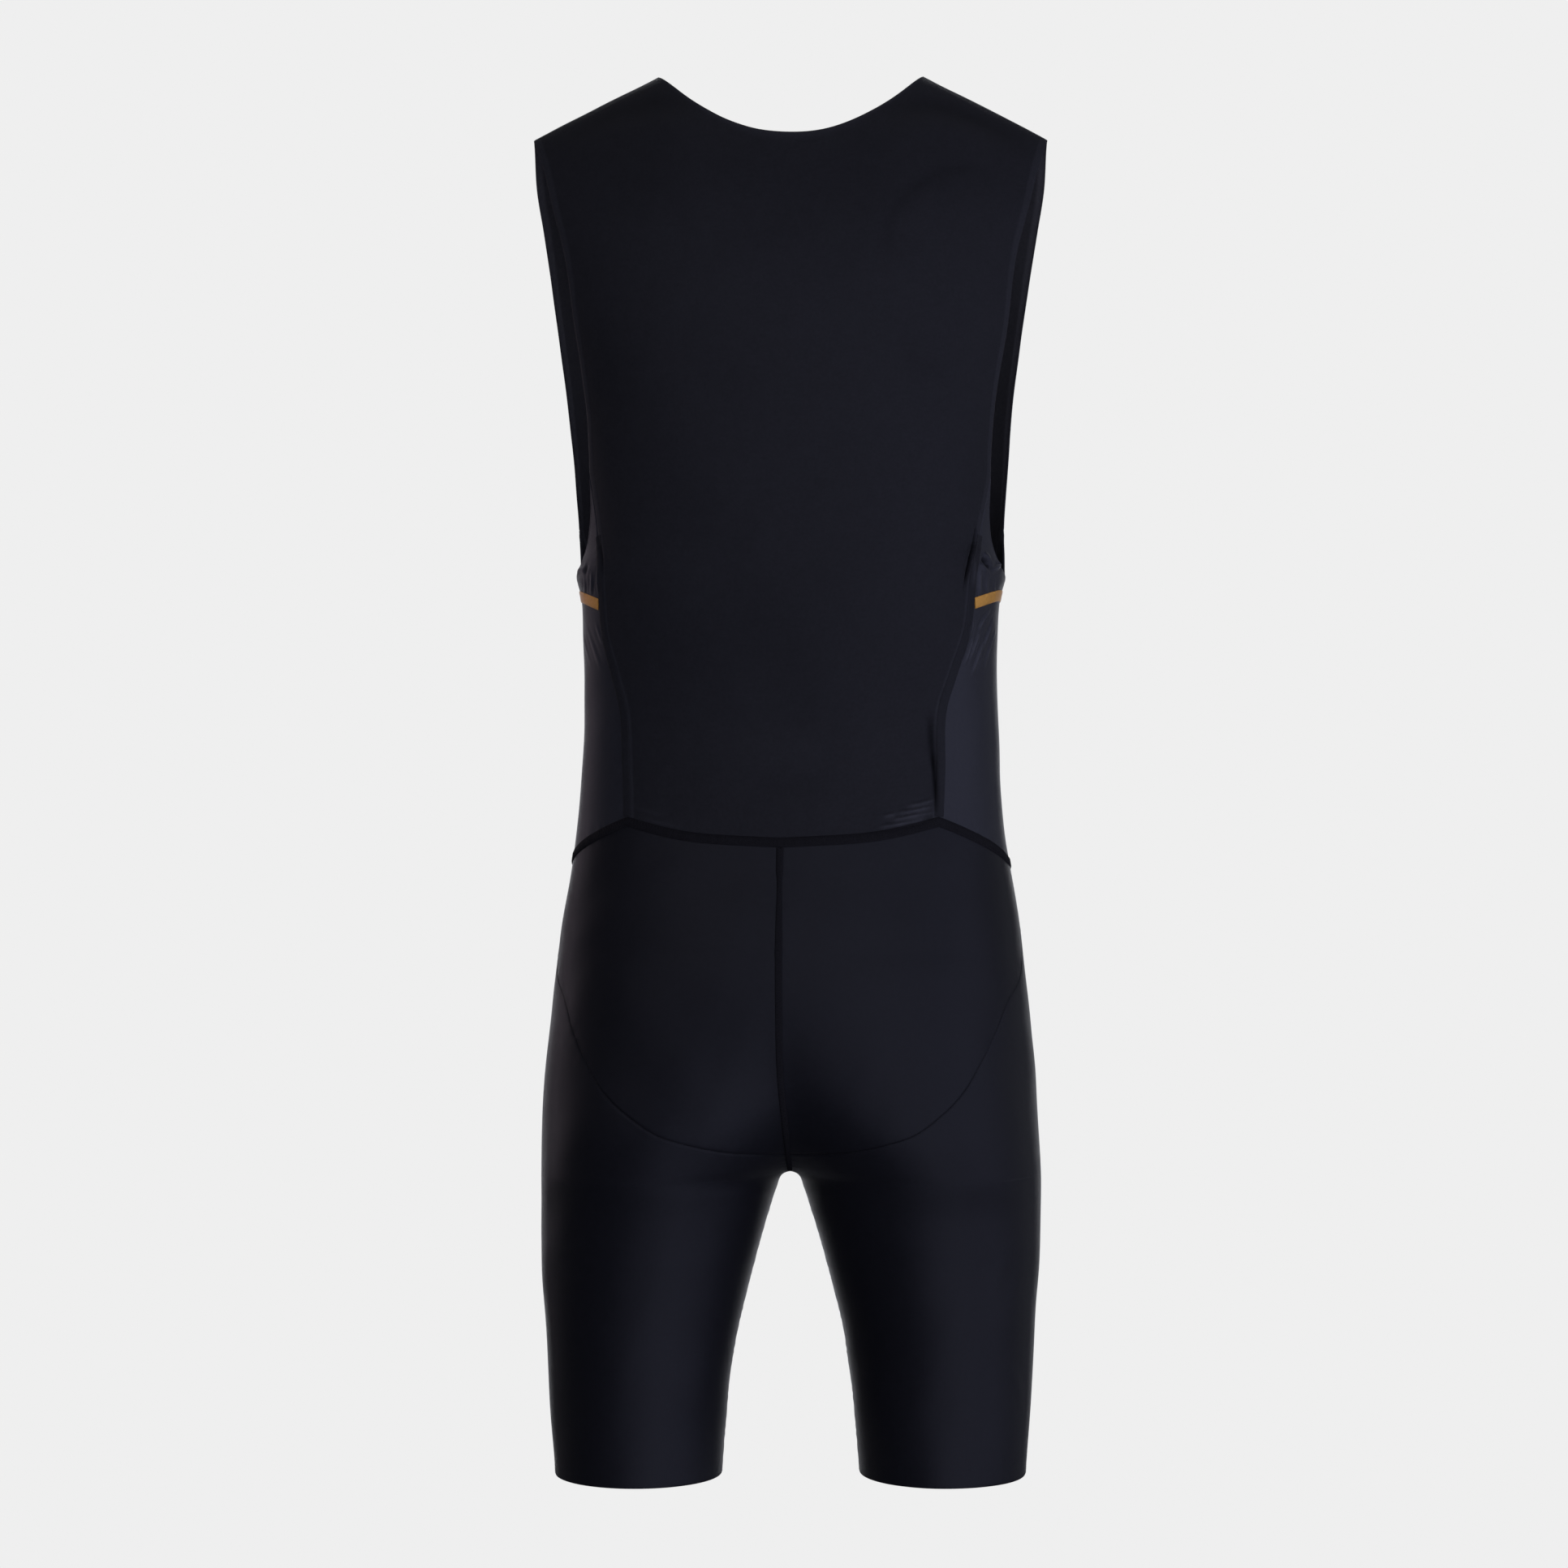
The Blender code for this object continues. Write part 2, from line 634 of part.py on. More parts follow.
def waist_tape(back, side, front, seat, leg):
    """The tape round the waist, from the centre back round the right side and on."""
    middle = (len(back[0]) - 1) // 2
    above = list(zip(back[0], back[1]))[middle:]
    above += list(zip(side[0], side[1]))[1:]
    above += list(zip(front[0], front[1]))[1:middle + 1]
    below = list(zip(seat[-1], seat[-2]))
    on_leg = list(zip(leg[-1], leg[-2]))[len(below) - len(above) - 1:]
    seat_end = [halfway(a, b) for a, b in zip(below[-1], on_leg[0])]
    below = below[:-1] + [seat_end] + on_leg[1:]
    half = tape_over(above, below)
    return half + [other_side(row) for row in half[-2:0:-1]]


def centre_back_tape(seat):
    """The tape down the centre back, from the waist tape to the end of the seat seam."""
    right = [row[:2] for row in seat[:-1]]
    rows = tape_over([other_side(pair) for pair in right], right)
    clear_end = [along(pair, TAPE_CLEARANCE) for pair in zip(rows[-1], rows[-2])]
    return rows[:-1] + [clear_end]


def side_seam_tape(back, side):
    """The tape up the right back side seam, from the waist tape to where the side panel narrows."""
    rows = tape_over(
        [row[:-3:-1] for row in back[1:SIDE_TAPE_ROWS]], [row[:2] for row in side[1:SIDE_TAPE_ROWS]]
    )
    clear_end = [along(pair, TAPE_CLEARANCE) for pair in zip(rows[0], rows[1])]
    return [clear_end] + rows[1:]


def side_band(side):
    """The band across the right side panel, from the side seam tape to the front side seam."""
    rows = [row[1:] for row in side[LOW_SIDE_ROWS + 1:LOW_SIDE_ROWS + 3]]
    return [[along(row, TAPE_CLEARANCE)] + row[1:] for row in rows]


# Solids

def turned(spot):
    """A (point, direction) turned about the upright axis, as the cloth sits on the form."""
    point, normal = spot
    cosine, sine = math.cos(TURN(point[2])), math.sin(TURN(point[2]))
    return [(x * cosine + y * sine, y * cosine - x * sine, z) for x, y, z in (point, normal)]


def wall_mesh(name, grid, outer_lift, inner_lift, ring):
    """A wall between two lifts of a grid of (point, direction), with its rims closed.

    A ring's rows run right round, so it has rims at its two sides only.
    """
    rows, columns = len(grid), len(grid[0])
    grid = [[turned(spot) for spot in row] for row in grid]
    points = [add(p, n, outer_lift) for row in grid for p, n in row]
    points += [add(p, n, inner_lift) for row in grid for p, n in row]
    inner = rows * columns

    def index(i, j):
        return i % rows * columns + j

    def rim(a, b):
        return a, b, inner + b, inner + a

    def halves(a, b, c, d):
        """Two triangles of a quad, parted along its shorter diagonal on the panel."""
        spots = [grid[k // columns][k % columns][0] for k in (a, b, c, d)]
        if math.dist(spots[0], spots[2]) <= math.dist(spots[1], spots[3]):
            return (a, b, c), (a, c, d)
        return (a, b, d), (b, c, d)

    faces = []
    steps = rows if ring else rows - 1
    for i in range(steps):
        for j in range(columns - 1):
            for half in halves(index(i, j), index(i, j + 1), index(i + 1, j + 1), index(i + 1, j)):
                faces.append(half)
                faces.append(tuple(inner + k for k in reversed(half)))
        faces.append(rim(index(i, 0), index(i + 1, 0)))
        faces.append(rim(index(i + 1, columns - 1), index(i, columns - 1)))
    if not ring:
        for j in range(columns - 1):
            faces.append(rim(index(0, j + 1), index(0, j)))
            faces.append(rim(index(rows - 1, j), index(rows - 1, j + 1)))
    mesh = bpy.data.meshes.new(name)
    mesh.from_pydata(points, [], faces)
    return mesh


def add_wall(name, grid, finish, lifts, ring=False):
    """Adds a wall as a named object with its own material, smooth except at its rims."""
    mesh = wall_mesh(name, grid, lifts[0], lifts[1], ring)
    mesh.materials.append(cloth_material(name, finish))
    mesh.shade_smooth()
    mesh.set_sharp_from_angle(angle=math.radians(RIM_ANGLE))
    bpy.data.collections[SUIT_NAME].objects.link(bpy.data.objects.new(name, mesh))


def cloth_material(name, finish):
    """A plain material from a row of finish values."""
    value = dict(zip(FINISH_COLUMNS, finish))
    material = bpy.data.materials.new(name)
    material.use_nodes = True
    shader = material.node_tree.nodes["Principled BSDF"]
    shader.inputs["Base Color"].default_value = (*value["colour"], 1.0)
    shader.inputs["Roughness"].default_value = value["roughness"]
    shader.inputs["Metallic"].default_value = value["metallic"]
    return material


def clear_scene():
    for old in list(bpy.data.objects):
        bpy.data.objects.remove(old, do_unlink=True)
    suit = bpy.data.collections.new(SUIT_NAME)
    bpy.context.scene.collection.children.link(suit)


def main():
    clear_scene()
    back, front = back_panel(), front_panel()
    side, seat, leg = side_half(), seat_half(), leg_half()
    panel_lifts = (0.0, -CLOTH_WALL)
    tape_lifts = (SEAM_GAP + TAPE_WALL, SEAM_GAP)

    waist = waist_tape(back, side, front, seat, leg)
    back = with_columns_at(back, TAPE_HALF_WIDTH, left=True, right=True)
    side = with_columns_at(side, TAPE_HALF_WIDTH, left=True)
    seat = with_columns_at(seat, TAPE_HALF_WIDTH, left=True)

    add_wall("back_panel", back, CLOTH_FINISH, panel_lifts)
    add_wall("front_panel", front, CLOTH_FINISH, panel_lifts)
    add_wall("waist_tape", waist, TAPE_FINISH, tape_lifts, ring=True)
    add_wall("centre_back_tape", centre_back_tape(seat), TAPE_FINISH, tape_lifts)

    pairs = (
        ("side_panel", side, CLOTH_FINISH, panel_lifts),
        ("seat_panel", seat, CLOTH_FINISH, panel_lifts),
        ("leg_panel", leg, CLOTH_FINISH, panel_lifts),
        ("side_seam_tape", side_seam_tape(back, side), TAPE_FINISH, tape_lifts),
        ("side_band", side_band(side), BAND_FINISH, tape_lifts),
    )
    for name, grid, finish, lifts in pairs:
        add_wall(f"{name}_right", grid, finish, lifts)
        add_wall(f"{name}_left", mirrored(grid), finish, lifts)


if __name__ == "__main__":
    main()
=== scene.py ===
"""Looks of a sleeveless, short-legged athletics bodysuit of stretch cloth, shown filled out as worn.

The cloth is made panel by panel as thin shells on the same body form as the frame's solids, with the
creases laid one by one. A place on the form is (share, height): share runs from 0 at the centre back,
through 0.5 at the side, to 1 at the centre front of the right half, and once round the leg below the
crotch. The back of the garment faces -Y.
"""

import math
import bpy
import numpy as np
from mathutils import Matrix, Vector


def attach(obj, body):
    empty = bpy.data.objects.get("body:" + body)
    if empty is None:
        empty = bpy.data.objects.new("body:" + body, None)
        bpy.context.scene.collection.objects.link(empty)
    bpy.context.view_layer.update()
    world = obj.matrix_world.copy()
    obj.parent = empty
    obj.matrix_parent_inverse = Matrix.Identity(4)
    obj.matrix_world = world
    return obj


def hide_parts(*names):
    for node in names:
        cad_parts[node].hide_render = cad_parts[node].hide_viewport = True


bl_info = {
    "name": "Athletics bodysuit",
    "version": (1, 0, 0),
    "blender": (4, 5, 0),
    "location": "3D View > Sidebar > Bodysuit",
    "description": "Dresses the frame of an athletics bodysuit in stretch cloth, tape and stitches",
    "category": "Object",
}

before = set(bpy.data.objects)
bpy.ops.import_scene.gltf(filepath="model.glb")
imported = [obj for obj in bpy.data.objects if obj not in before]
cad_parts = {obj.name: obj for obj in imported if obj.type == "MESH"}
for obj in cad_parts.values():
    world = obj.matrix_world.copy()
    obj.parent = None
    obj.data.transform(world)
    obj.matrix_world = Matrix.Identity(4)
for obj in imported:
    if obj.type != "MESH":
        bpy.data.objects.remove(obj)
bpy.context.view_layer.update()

MM = 0.001

# Body form, as in the part's source

NECK_HALF_WIDTH = 94 * MM
SHOULDER_TIP_X = 182 * MM
SHOULDER_DROP = 45 * MM
NECK_DEPTH = {"back": 51 * MM, "front": 92 * MM}
NECK_CURVE = {"back": 2.1, "front": 2.3}
CROTCH_Z = -774.5 * MM
HEM_Z = -988 * MM
SHOULDER_ROUND_DEPTH = 200 * MM
SHOULDER_ROUND_POWER = 0.6
RIDGE_LEVEL_HALF = 60 * MM
CROTCH_ROUNDING = 12 * MM
ROUNDING_STARTS_Z = -560 * MM
ROUNDING_FULL_Z = -640 * MM
SQUARENESS = {"back": (2.3, 2.1), "front": (2.4, 2.1)}
WAIST_Z = -541 * MM

SECTION_COLUMNS = ("height", "back_half", "front_half", "back_depth", "front_depth")
SECTIONS = (
    (-45, 203, 207, 105, 103),
    (-104, 194, 210, 105, 103),
    (-133, 184, 206, 105, 103),
    (-184, 171, 190, 105, 103),
    (-219, 162, 181, 105, 104),
    (-272, 152.5, 170.5, 102, 105),
    (-311, 147.5, 161, 99, 105),
    (-333, 147, 155, 97, 104),
    (-354, 152, 152, 95, 103),
    (-370, 148.5, 148.5, 93, 101),
    (-399, 147, 147, 88, 98),
    (-427, 146.4, 146.4, 84, 94),
    (-470, 147.2, 147.2, 81, 90),
    (-514, 149.3, 149.3, 84, 89),
    (-557, 155, 155, 93, 90),
    (-600, 162, 162, 103, 92),
    (-650, 168.3, 168.3, 111, 93),
    (-700, 172.9, 172.9, 113, 93),
    (-740, 175.5, 175.5, 110, 92),
    (-774.5, 176.8, 176.8, 100, 89),
    (-800, 176.6, 176.6, 91, 86),
    (-830, 176.4, 176.4, 84, 82),
    (-888, 173.2, 173.2, 75, 76),
    (-945, 169.5, 169.5, 69, 71),
    (-988, 166.6, 166.6, 66, 67),
)
INNER_REACH = (
    (-600, -168), (-640, -135), (-680, -100), (-710, -70), (-735, -42), (-755, -21), (-767, -8.5),
    (-774.5, 0), (-787, 3.6), (-802, 6.8), (-830, 13.7), (-859, 20.8), (-888, 27.6), (-917, 32),
    (-945, 34.8), (-988, 38),
)
TURNS = (
    (-250, 0), (-310, 0.8), (-372, 4), (-440, 5.5), (-500, 5), (-541, 4.8), (-650, 4.3), (-700, 3.8),
    (-740, 2.2), (-775, 0.8), (-830, 0),
)
ARMHOLE = {
    "back": (
        (182, -45), (173.5, -70), (165, -104), (157.5, -133), (150.3, -184), (144.8, -219),
        (141.7, -246), (140, -272), (139.6, -285),
    ),
    "front": (
        (182, -45), (182, -75), (178, -104), (174, -133), (167, -184), (162, -219), (157, -272),
        (153.1, -318),
    ),
}
ARMHOLE_LOW = {
    "back": ((139.6, -285), (139, -311), (142, -333), (146.5, -345), (152, -354)),
    "front": ((153.1, -318), (152, -333), (151.7, -345), (152, -354)),
}
SIDE_SEAM = {
    "back": (
        (139.6, -285), (133.7, -321), (130, -352), (128.7, -376), (127, -394), (118, -425),
        (111, -449), (109.5, -488), (108, -527),
    ),
    "front": (
        (153.1, -318), (147, -340), (138, -367), (131, -392), (121, -425), (116, -449), (113, -500),
        (112, -553),
    ),
}
SEAT_SEAM_BACK = (
    (0, -757), (45, -752), (83, -742), (107, -727), (124, -711), (136, -692), (147, -670),
    (155, -650), (164, -625),
)
SEAT_CORNER_Z = -680 * MM
WAIST_BACK = ((0, -541), (0.12, -537), (0.239, -527))
WAIST_FRONT = ((0.239, -527), (0.37, -543), (0.5, -556), (0.62, -560), (0.8, -555), (1, -548))
FRONT_WAIST_Z = WAIST_FRONT[-1][1] * MM
SEAT_SEAM_TOP_SHARE = 0.6
BAND_BOTTOM_Z = -380.5 * MM
BAND_TOP_Z = -372.5 * MM
BAND_RISE = 8 * MM
SIDE_TAPE_TOP_Z = -328 * MM
SIDES = {1: "right", -1: "left"}

# Sewing

HEM_STRIP = 6 * MM
HEM_STRIP_RAISE = 0.12 * MM
SEAM_GAP = 0.3 * MM
EDGE_ROLL = 0.35 * MM
EDGE_ROLL_REACH = 1.3 * MM
FREE_ROLL_REACH = 0.6 * MM
TAPE_CLEARANCE = 0.4 * MM
BAND_CLEARANCE = 0.2 * MM
CENTRE_TAPE_PAST_SEAT = 14 * MM
FLAT_SEAM_END = 4 * MM
COVER_STITCH_SHARE = 0.72
# A flat stitch's half width, the radius of its thread and its lift off the cloth
FLAT_STITCH = (0.9 * MM, 0.11 * MM, 0.02 * MM)
COVER_STITCH_RADIUS = 0.16 * MM
COVER_STITCH_LIFT = 0.82 * MM
# Directions of the three corners of a thread's section, in radians
THREAD_CORNERS = (0.5, 2.64, 4.71)
# Lifts of the underside, the rims and the middle off the cloth
TAPE_LIFTS = (0.05 * MM, 0.25 * MM, 0.85 * MM)
SIDE_TAPE_LIFTS = (0.05 * MM, 0.25 * MM, 0.55 * MM)
BAND_LIFTS = (0.05 * MM, 0.35 * MM, 0.8 * MM)

# Grids of points: how many along a line, rows close to an edge, and where they are finer

MEASURE_STEPS = 400
STRIP_COLUMNS = 9
WAIST_TAPE_POINTS = 520
CENTRE_TAPE_POINTS = 130
SIDE_TAPE_POINTS = 120
BAND_POINTS = 110
CURVED_SEAM_POINTS = 160
UPRIGHT_SEAM_POINTS = 120
FIRST_ROW, SECOND_ROW = 0.7 * MM, 1.8 * MM
LOW_ROWS = 30 * MM
LOW_ROW_STEP = {"back": 0.85 * MM, "front": 1.9 * MM}
ARMHOLE_ROWS = 22 * MM
ARMHOLE_FINENESS = 0.32
SIDE_COLUMN_FINENESS = 0.36
SIDE_ROW_FINENESS = 0.5
LEG_COARSENESS = 1.1
SEAT_RISE = 215 * MM
LEG_RISE = 130 * MM
SHARP_ANGLE = math.radians(48)
# Further away than any edge of a panel, in metres
FAR = 1.0
# Each edge of a grid: the axis that runs away from it, and its index
EDGES = {"bottom": (0, 0), "top": (0, -1), "left": (1, 0), "right": (1, -1)}

# Creases laid one by one, on the back and on the front: path as (x, height) in millimetres, then the half
# width and the height in millimetres. One with a negative height is a trough. Uneven left and right.
# The sharper creases also carry painted light through the fold mark: a painted highlight along a ridge,
# painted shade in a trough.
CREASE_COLUMNS = ("path", "half_width", "height")
BACK_CREASES = (
    # gathers between the band and the armhole, right and left, with a painted dark pocket and painted
    # highlights on the folds
    (((129.5, -345), (129.9, -356), (129.4, -366)), 1.3, 0.7),
    (((134.6, -352), (134.2, -361), (134.8, -371)), 1.4, 0.75),
    (((139.5, -357), (139.2, -364), (140, -371)), 1.5, 0.5),
    (((144.5, -359), (144.3, -364), (145, -370)), 1.5, 0.45),
    (((135, -343.6), (137.4, -346.4), (140.6, -349.6)), 2.4, -4.4),
    (((146.2, -345.4), (147.6, -347.6), (145.6, -350.2), (142.8, -352.4)), 1.5, 1.5),
    (((-131, -349), (-131.6, -358), (-131, -367)), 1.3, 0.55),
    (((-137, -353), (-136.6, -360), (-137.5, -369)), 1.5, 0.6),
    (((-143, -356), (-142.6, -362), (-143.6, -369)), 1.6, 0.45),
    (((-140, -347), (-141.5, -351), (-142, -355)), 2.4, -0.8),
    (((-143, -351.5), (-147, -350), (-150, -352)), 1.9, 0.9),
    # the back panel folded in beside the right seam, and less beside the left one; the right slot is
    # painted nearly black
    (((130.2, -322), (127.8, -336), (125.4, -350), (124, -364)), 1.15, -4.2),
    (((-133, -326), (-129, -342), (-127, -357)), 1.6, -0.6),
    # shallow slot down the lower end of the right side tape, darkened further with painted shade on cloth
    # and tape
    (((102.4, -452), (103.6, -472), (105, -492)), 2.9, -0.8),
    (((104.4, -478), (105.4, -500), (106.2, -523)), 1.7, -1.0),
    # drag lines below the band, running down towards the back seam, with painted highlights on their ridges
    (((142, -379.5), (138, -386), (134.6, -394)), 1.15, 1.15),
    (((131.2, -400.5), (128.4, -409), (126, -417)), 1.15, 1.1),
    (((144.4, -385.5), (141, -396), (138, -406.3)), 1.15, 1.15),
    (((135.5, -396), (132.5, -404), (129.5, -414)), 1.1, 0.95),
    (((131, -389), (129.5, -394), (128.6, -398)), 1.1, 0.95),
    (((138.5, -401), (135, -412), (131, -424)), 1.2, 0.8),
    (((146, -393), (142, -407), (138.5, -420)), 1.4, 0.7),
    (((-142, -390), (-136, -404), (-129, -420)), 1.8, 0.36),
    (((-146, -392), (-142.5, -405), (-137, -418)), 1.8, 0.36),
    (((-134, -388), (-130.5, -397), (-127, -404)), 1.5, 0.3),
    # small of the back, beside the lower end of the side seams: ridges with painted highlights
    (((68, -530.6), (84, -528), (99, -524.6)), 1.4, 1.9),
    (((75, -526.2), (90, -523.2), (104, -520.4)), 1.4, 2.2),
    (((80, -521.4), (93, -519), (103.6, -516.6)), 1.4, 1.9),
    (((87, -516.6), (97, -514.4), (104.4, -512)), 1.3, 1.4),
    (((70, -523.4), (79, -522)), 1.3, 1.1),
    (((-66, -531), (-84, -528), (-99, -524)), 1.5, 0.26),
    (((-80, -523), (-92, -520), (-103, -517)), 1.5, 0.22),
    (((-30, -500), (5, -503), (40, -499)), 9, -0.35),
    (((-44, -474), (-6, -478), (30, -473)), 10, 0.3),
    # shoulders and shoulder blade: shallow troughs, darkened further with painted shade
    (((58, -42), (94, -27), (135, -36), (170, -55)), 12, -1.6),
    (((-58, -40), (-94, -26), (-135, -35), (-168, -54)), 12, -1.1),
    (((65.4, -145), (66, -125), (72, -106), (86, -90), (104, -79), (124, -74), (144, -77)), 5, -0.34),
    (((72, -196), (88, -214), (110, -222)), 8, -0.3),
    (((-70, -140), (-76, -108), (-100, -86), (-130, -80)), 7, -0.18),
    # crotch, back
    (((8, -764), (18, -756), (30, -751)), 2.4, -0.14),
    (((-8, -764), (-18, -757), (-30, -752)), 2.4, -0.12),
    # thighs, back
    (((-66, -955), (-58, -952.6), (-50, -950)), 1.6, 0.4),
    (((150, -905), (158, -918), (162, -934)), 4, 0.35),
    (((158, -830), (150, -846), (146, -866)), 6, -0.4),
)

FRONT_CREASES = (
    # chest and front of the armholes
    (((142, -352), (141, -361), (142, -369)), 1.4, 0.6),
    (((134, -354), (134.6, -363), (133.4, -371)), 1.5, 0.5),
    (((-140, -351), (-140.8, -360), (-139.6, -369)), 1.4, 0.55),
    (((-131, -356), (-130.6, -364), (-131.6, -372)), 1.5, 0.45),
    (((150, -300), (130, -282), (104, -272)), 5, 0.55),
    (((148, -318), (124, -305), (96, -300)), 5, 0.4),
    (((-150, -296), (-128, -279), (-102, -270)), 5, 0.5),
    (((-147, -316), (-120, -306), (-92, -303)), 5, 0.35),
    (((88, -60), (96, -92), (98, -124)), 6, 0.4),
    (((-88, -62), (-97, -95), (-98, -128)), 6, 0.36),
    # sides below the band, front
    (((136, -392), (128, -408), (117, -424)), 1.8, 0.42),
    (((-137, -391), (-128, -408), (-118, -422)), 1.8, 0.4),
    # waist, front
    (((66, -545), (86, -543), (104, -540)), 1.5, 0.35),
    (((72, -538), (90, -536), (108, -532)), 1.5, 0.3),
    (((-64, -545), (-84, -542), (-102, -539)), 1.5, 0.35),
    (((-50, -512), (0, -516), (46, -510)), 9, -0.35),
    # groin and crotch, front
    (((30, -757), (70, -726), (118, -694)), 6, -0.9),
    (((-30, -757), (-72, -724), (-120, -696)), 6, -0.8),
    (((8, -762), (20, -750), (34, -744)), 2.6, -0.45),
    (((-8, -762), (-20, -751), (-34, -744)), 2.6, -0.4),
    # thighs, front
    (((70, -812), (92, -806), (116, -808)), 8, -0.4),
    (((-66, -815), (-92, -808), (-118, -811)), 8, -0.4),
    (((60, -950), (72, -953), (86, -952)), 1.8, 0.35),
)

# Slow waves of the cloth between the creases: wavelength and height in millimetres, and direction
WAVE_COLUMNS = ("wavelength", "height", "direction")
WAVES = (
    (78, 0.22, (0.8, 0.3, 0.52)),
    (53, 0.14, (-0.35, 0.5, 0.79)),
    (118, 0.3, (0.2, -0.6, 0.77)),
    (39, 0.07, (0.93, 0.1, -0.35)),
)


# Cut of each panel before it is stretched: width and length in metres, area in square metres, and the
# narrow tapes and bands that are sewn on it
CUTS = (
    ("back_panel", 0.36, 0.53, 0.146, ("waist_tape", "side_seam_tape_right", "side_seam_tape_left")),
    ("front_panel", 0.37, 0.54, 0.155, ()),
    ("side_panel_right", 0.16, 0.23, 0.0272, ("side_band_right",)),
    ("side_panel_left", 0.16, 0.23, 0.0272, ("side_band_left",)),
    ("seat_panel_right", 0.215, 0.225, 0.035, ("centre_back_tape",)),
    ("seat_panel_left", 0.215, 0.225, 0.035, ()),
    ("leg_panel_right", 0.5, 0.46, 0.155, ()),
    ("leg_panel_left", 0.5, 0.46, 0.155, ()),
)


class Curve:
    """A smooth curve through pairs of (position, value), held level past its ends.

    scale turns the unit of both into metres.
    """

    def __init__(self, pairs, scale=1.0):
        at, value = np.array(sorted(pairs), float).T
        self.at, self.value = at * scale, value * scale
        rises = np.diff(self.value) / np.diff(self.at)
        self.slope = np.concatenate([rises[:1], (rises[:-1] + rises[1:]) / 2, rises[-1:]])

    def __call__(self, position):
        position = np.clip(position, self.at[0], self.at[-1])
        i = np.clip(np.searchsorted(self.at, position, side="right") - 1, 0, len(self.at) - 2)
        step = self.at[i + 1] - self.at[i]
        t = (position - self.at[i]) / step
        return (
            self.value[i] * (1 + 2 * t) * (1 - t) ** 2
            + self.value[i + 1] * (3 - 2 * t) * t * t
            + self.slope[i] * step * t * (1 - t) ** 2
            - self.slope[i + 1] * step * t * t * (1 - t)
        )


def section_curve(name):
    index = SECTION_COLUMNS.index(name)
    return Curve([(row[0], row[index]) for row in SECTIONS], MM)


BACK_HALF, FRONT_HALF = section_curve("back_half"), section_curve("front_half")
BACK_DEPTH, FRONT_DEPTH = section_curve("back_depth"), section_curve("front_depth")
INNER = Curve(INNER_REACH, MM)
TURN = Curve([(height * MM, math.radians(turn)) for height, turn in TURNS])


def width_curve(rows):
    """Half width over height, from a table of (half width, height) in millimetres."""
    return Curve([(z, x) for x, z in rows], MM)


def ease(value, start, end):
    t = np.clip((value - start) / (end - start), 0.0, 1.0)
    return t * t * (3 - 2 * t)


def ridge_height(x):
    """Height of the shoulder line, carried level across the neck."""
    slope = SHOULDER_DROP / (SHOULDER_TIP_X - NECK_HALF_WIDTH)
    x = np.abs(x)
    past = NECK_HALF_WIDTH - np.maximum(x, RIDGE_LEVEL_HALF)
    level = slope * (past - past * past / (2 * (NECK_HALF_WIDTH - RIDGE_LEVEL_HALF)))
    return np.where(x >= NECK_HALF_WIDTH, -slope * (x - NECK_HALF_WIDTH), level)


def section(z, front):
    """Cross-section of the right half at a height: rounding, middle, reach, depth and squareness."""
    rounding = CROTCH_ROUNDING * ease(z, ROUNDING_STARTS_Z, ROUNDING_FULL_Z)
    half = np.where(front, FRONT_HALF(z), BACK_HALF(z))
    depth = np.where(front, FRONT_DEPTH(z), BACK_DEPTH(z))
    outer = np.hypot(half, rounding) - rounding
    inner = np.where(z > INNER_REACH[0][0] * MM, -outer, np.maximum(INNER(z), -outer))
    low = ease(z, WAIST_Z, CROTCH_Z)
    chest = np.where(front, SQUARENESS["front"][0], SQUARENESS["back"][0])
    thigh = np.where(front, SQUARENESS["front"][1], SQUARENESS["back"][1])
    return rounding, (outer + inner) / 2, (outer - inner) / 2, depth, chest + (thigh - chest) * low


def start_angle(z, front):
    """Angle, before the back or past the front, at which the half meets the middle plane or inseam."""
    _, middle, reach, _, squareness = section(z, front)
    return np.arcsin(np.clip(np.maximum(middle, 0.0) / reach, 0.0, 1.0) ** (squareness / 2))


def form_point(share, z):
    """Points of the right half of the body form."""
    share, z = np.broadcast_arrays(np.asarray(share, float), np.asarray(z, float))
    back_start = start_angle(z, False)
    angle = share * (math.pi + back_start + start_angle(z, True)) - back_start
    rounding, middle, reach, depth, squareness = section(z, angle > math.pi / 2)
    across, along = np.sin(angle), np.cos(angle)
    flat_x = middle + reach * np.copysign(np.abs(across) ** (2 / squareness), across)
    x = np.sqrt(np.maximum((np.maximum(flat_x, 0.0) + rounding) ** 2 - rounding ** 2, 0.0))
    drop = np.clip((ridge_height(x) - z) / SHOULDER_ROUND_DEPTH, 0.0, 1.0)
    over_shoulder = (1 - (1 - drop) ** 2) ** SHOULDER_ROUND_POWER
    y = np.copysign(depth * np.abs(along) ** (2 / squareness) * over_shoulder, -along)
    return np.stack([x, y, z], axis=-1)


def share_at(x, z, front):
    """Share of the way round at which the back or the front of the form is x wide."""
    rounding, middle, reach, _, squareness = section(z, front)
    ratio = (np.hypot(x, rounding) - rounding - middle) / reach
    angle = np.arcsin(np.copysign(np.clip(np.abs(ratio), 0.0, 1.0) ** (squareness / 2), ratio))
    angle = math.pi - angle if front else angle
    back_start = start_angle(z, False)
    return (angle + back_start) / (math.pi + back_start + start_angle(z, True))


def unit(vectors):
    return vectors / np.maximum(np.linalg.norm(vectors, axis=-1, keepdims=True), 1e-12)


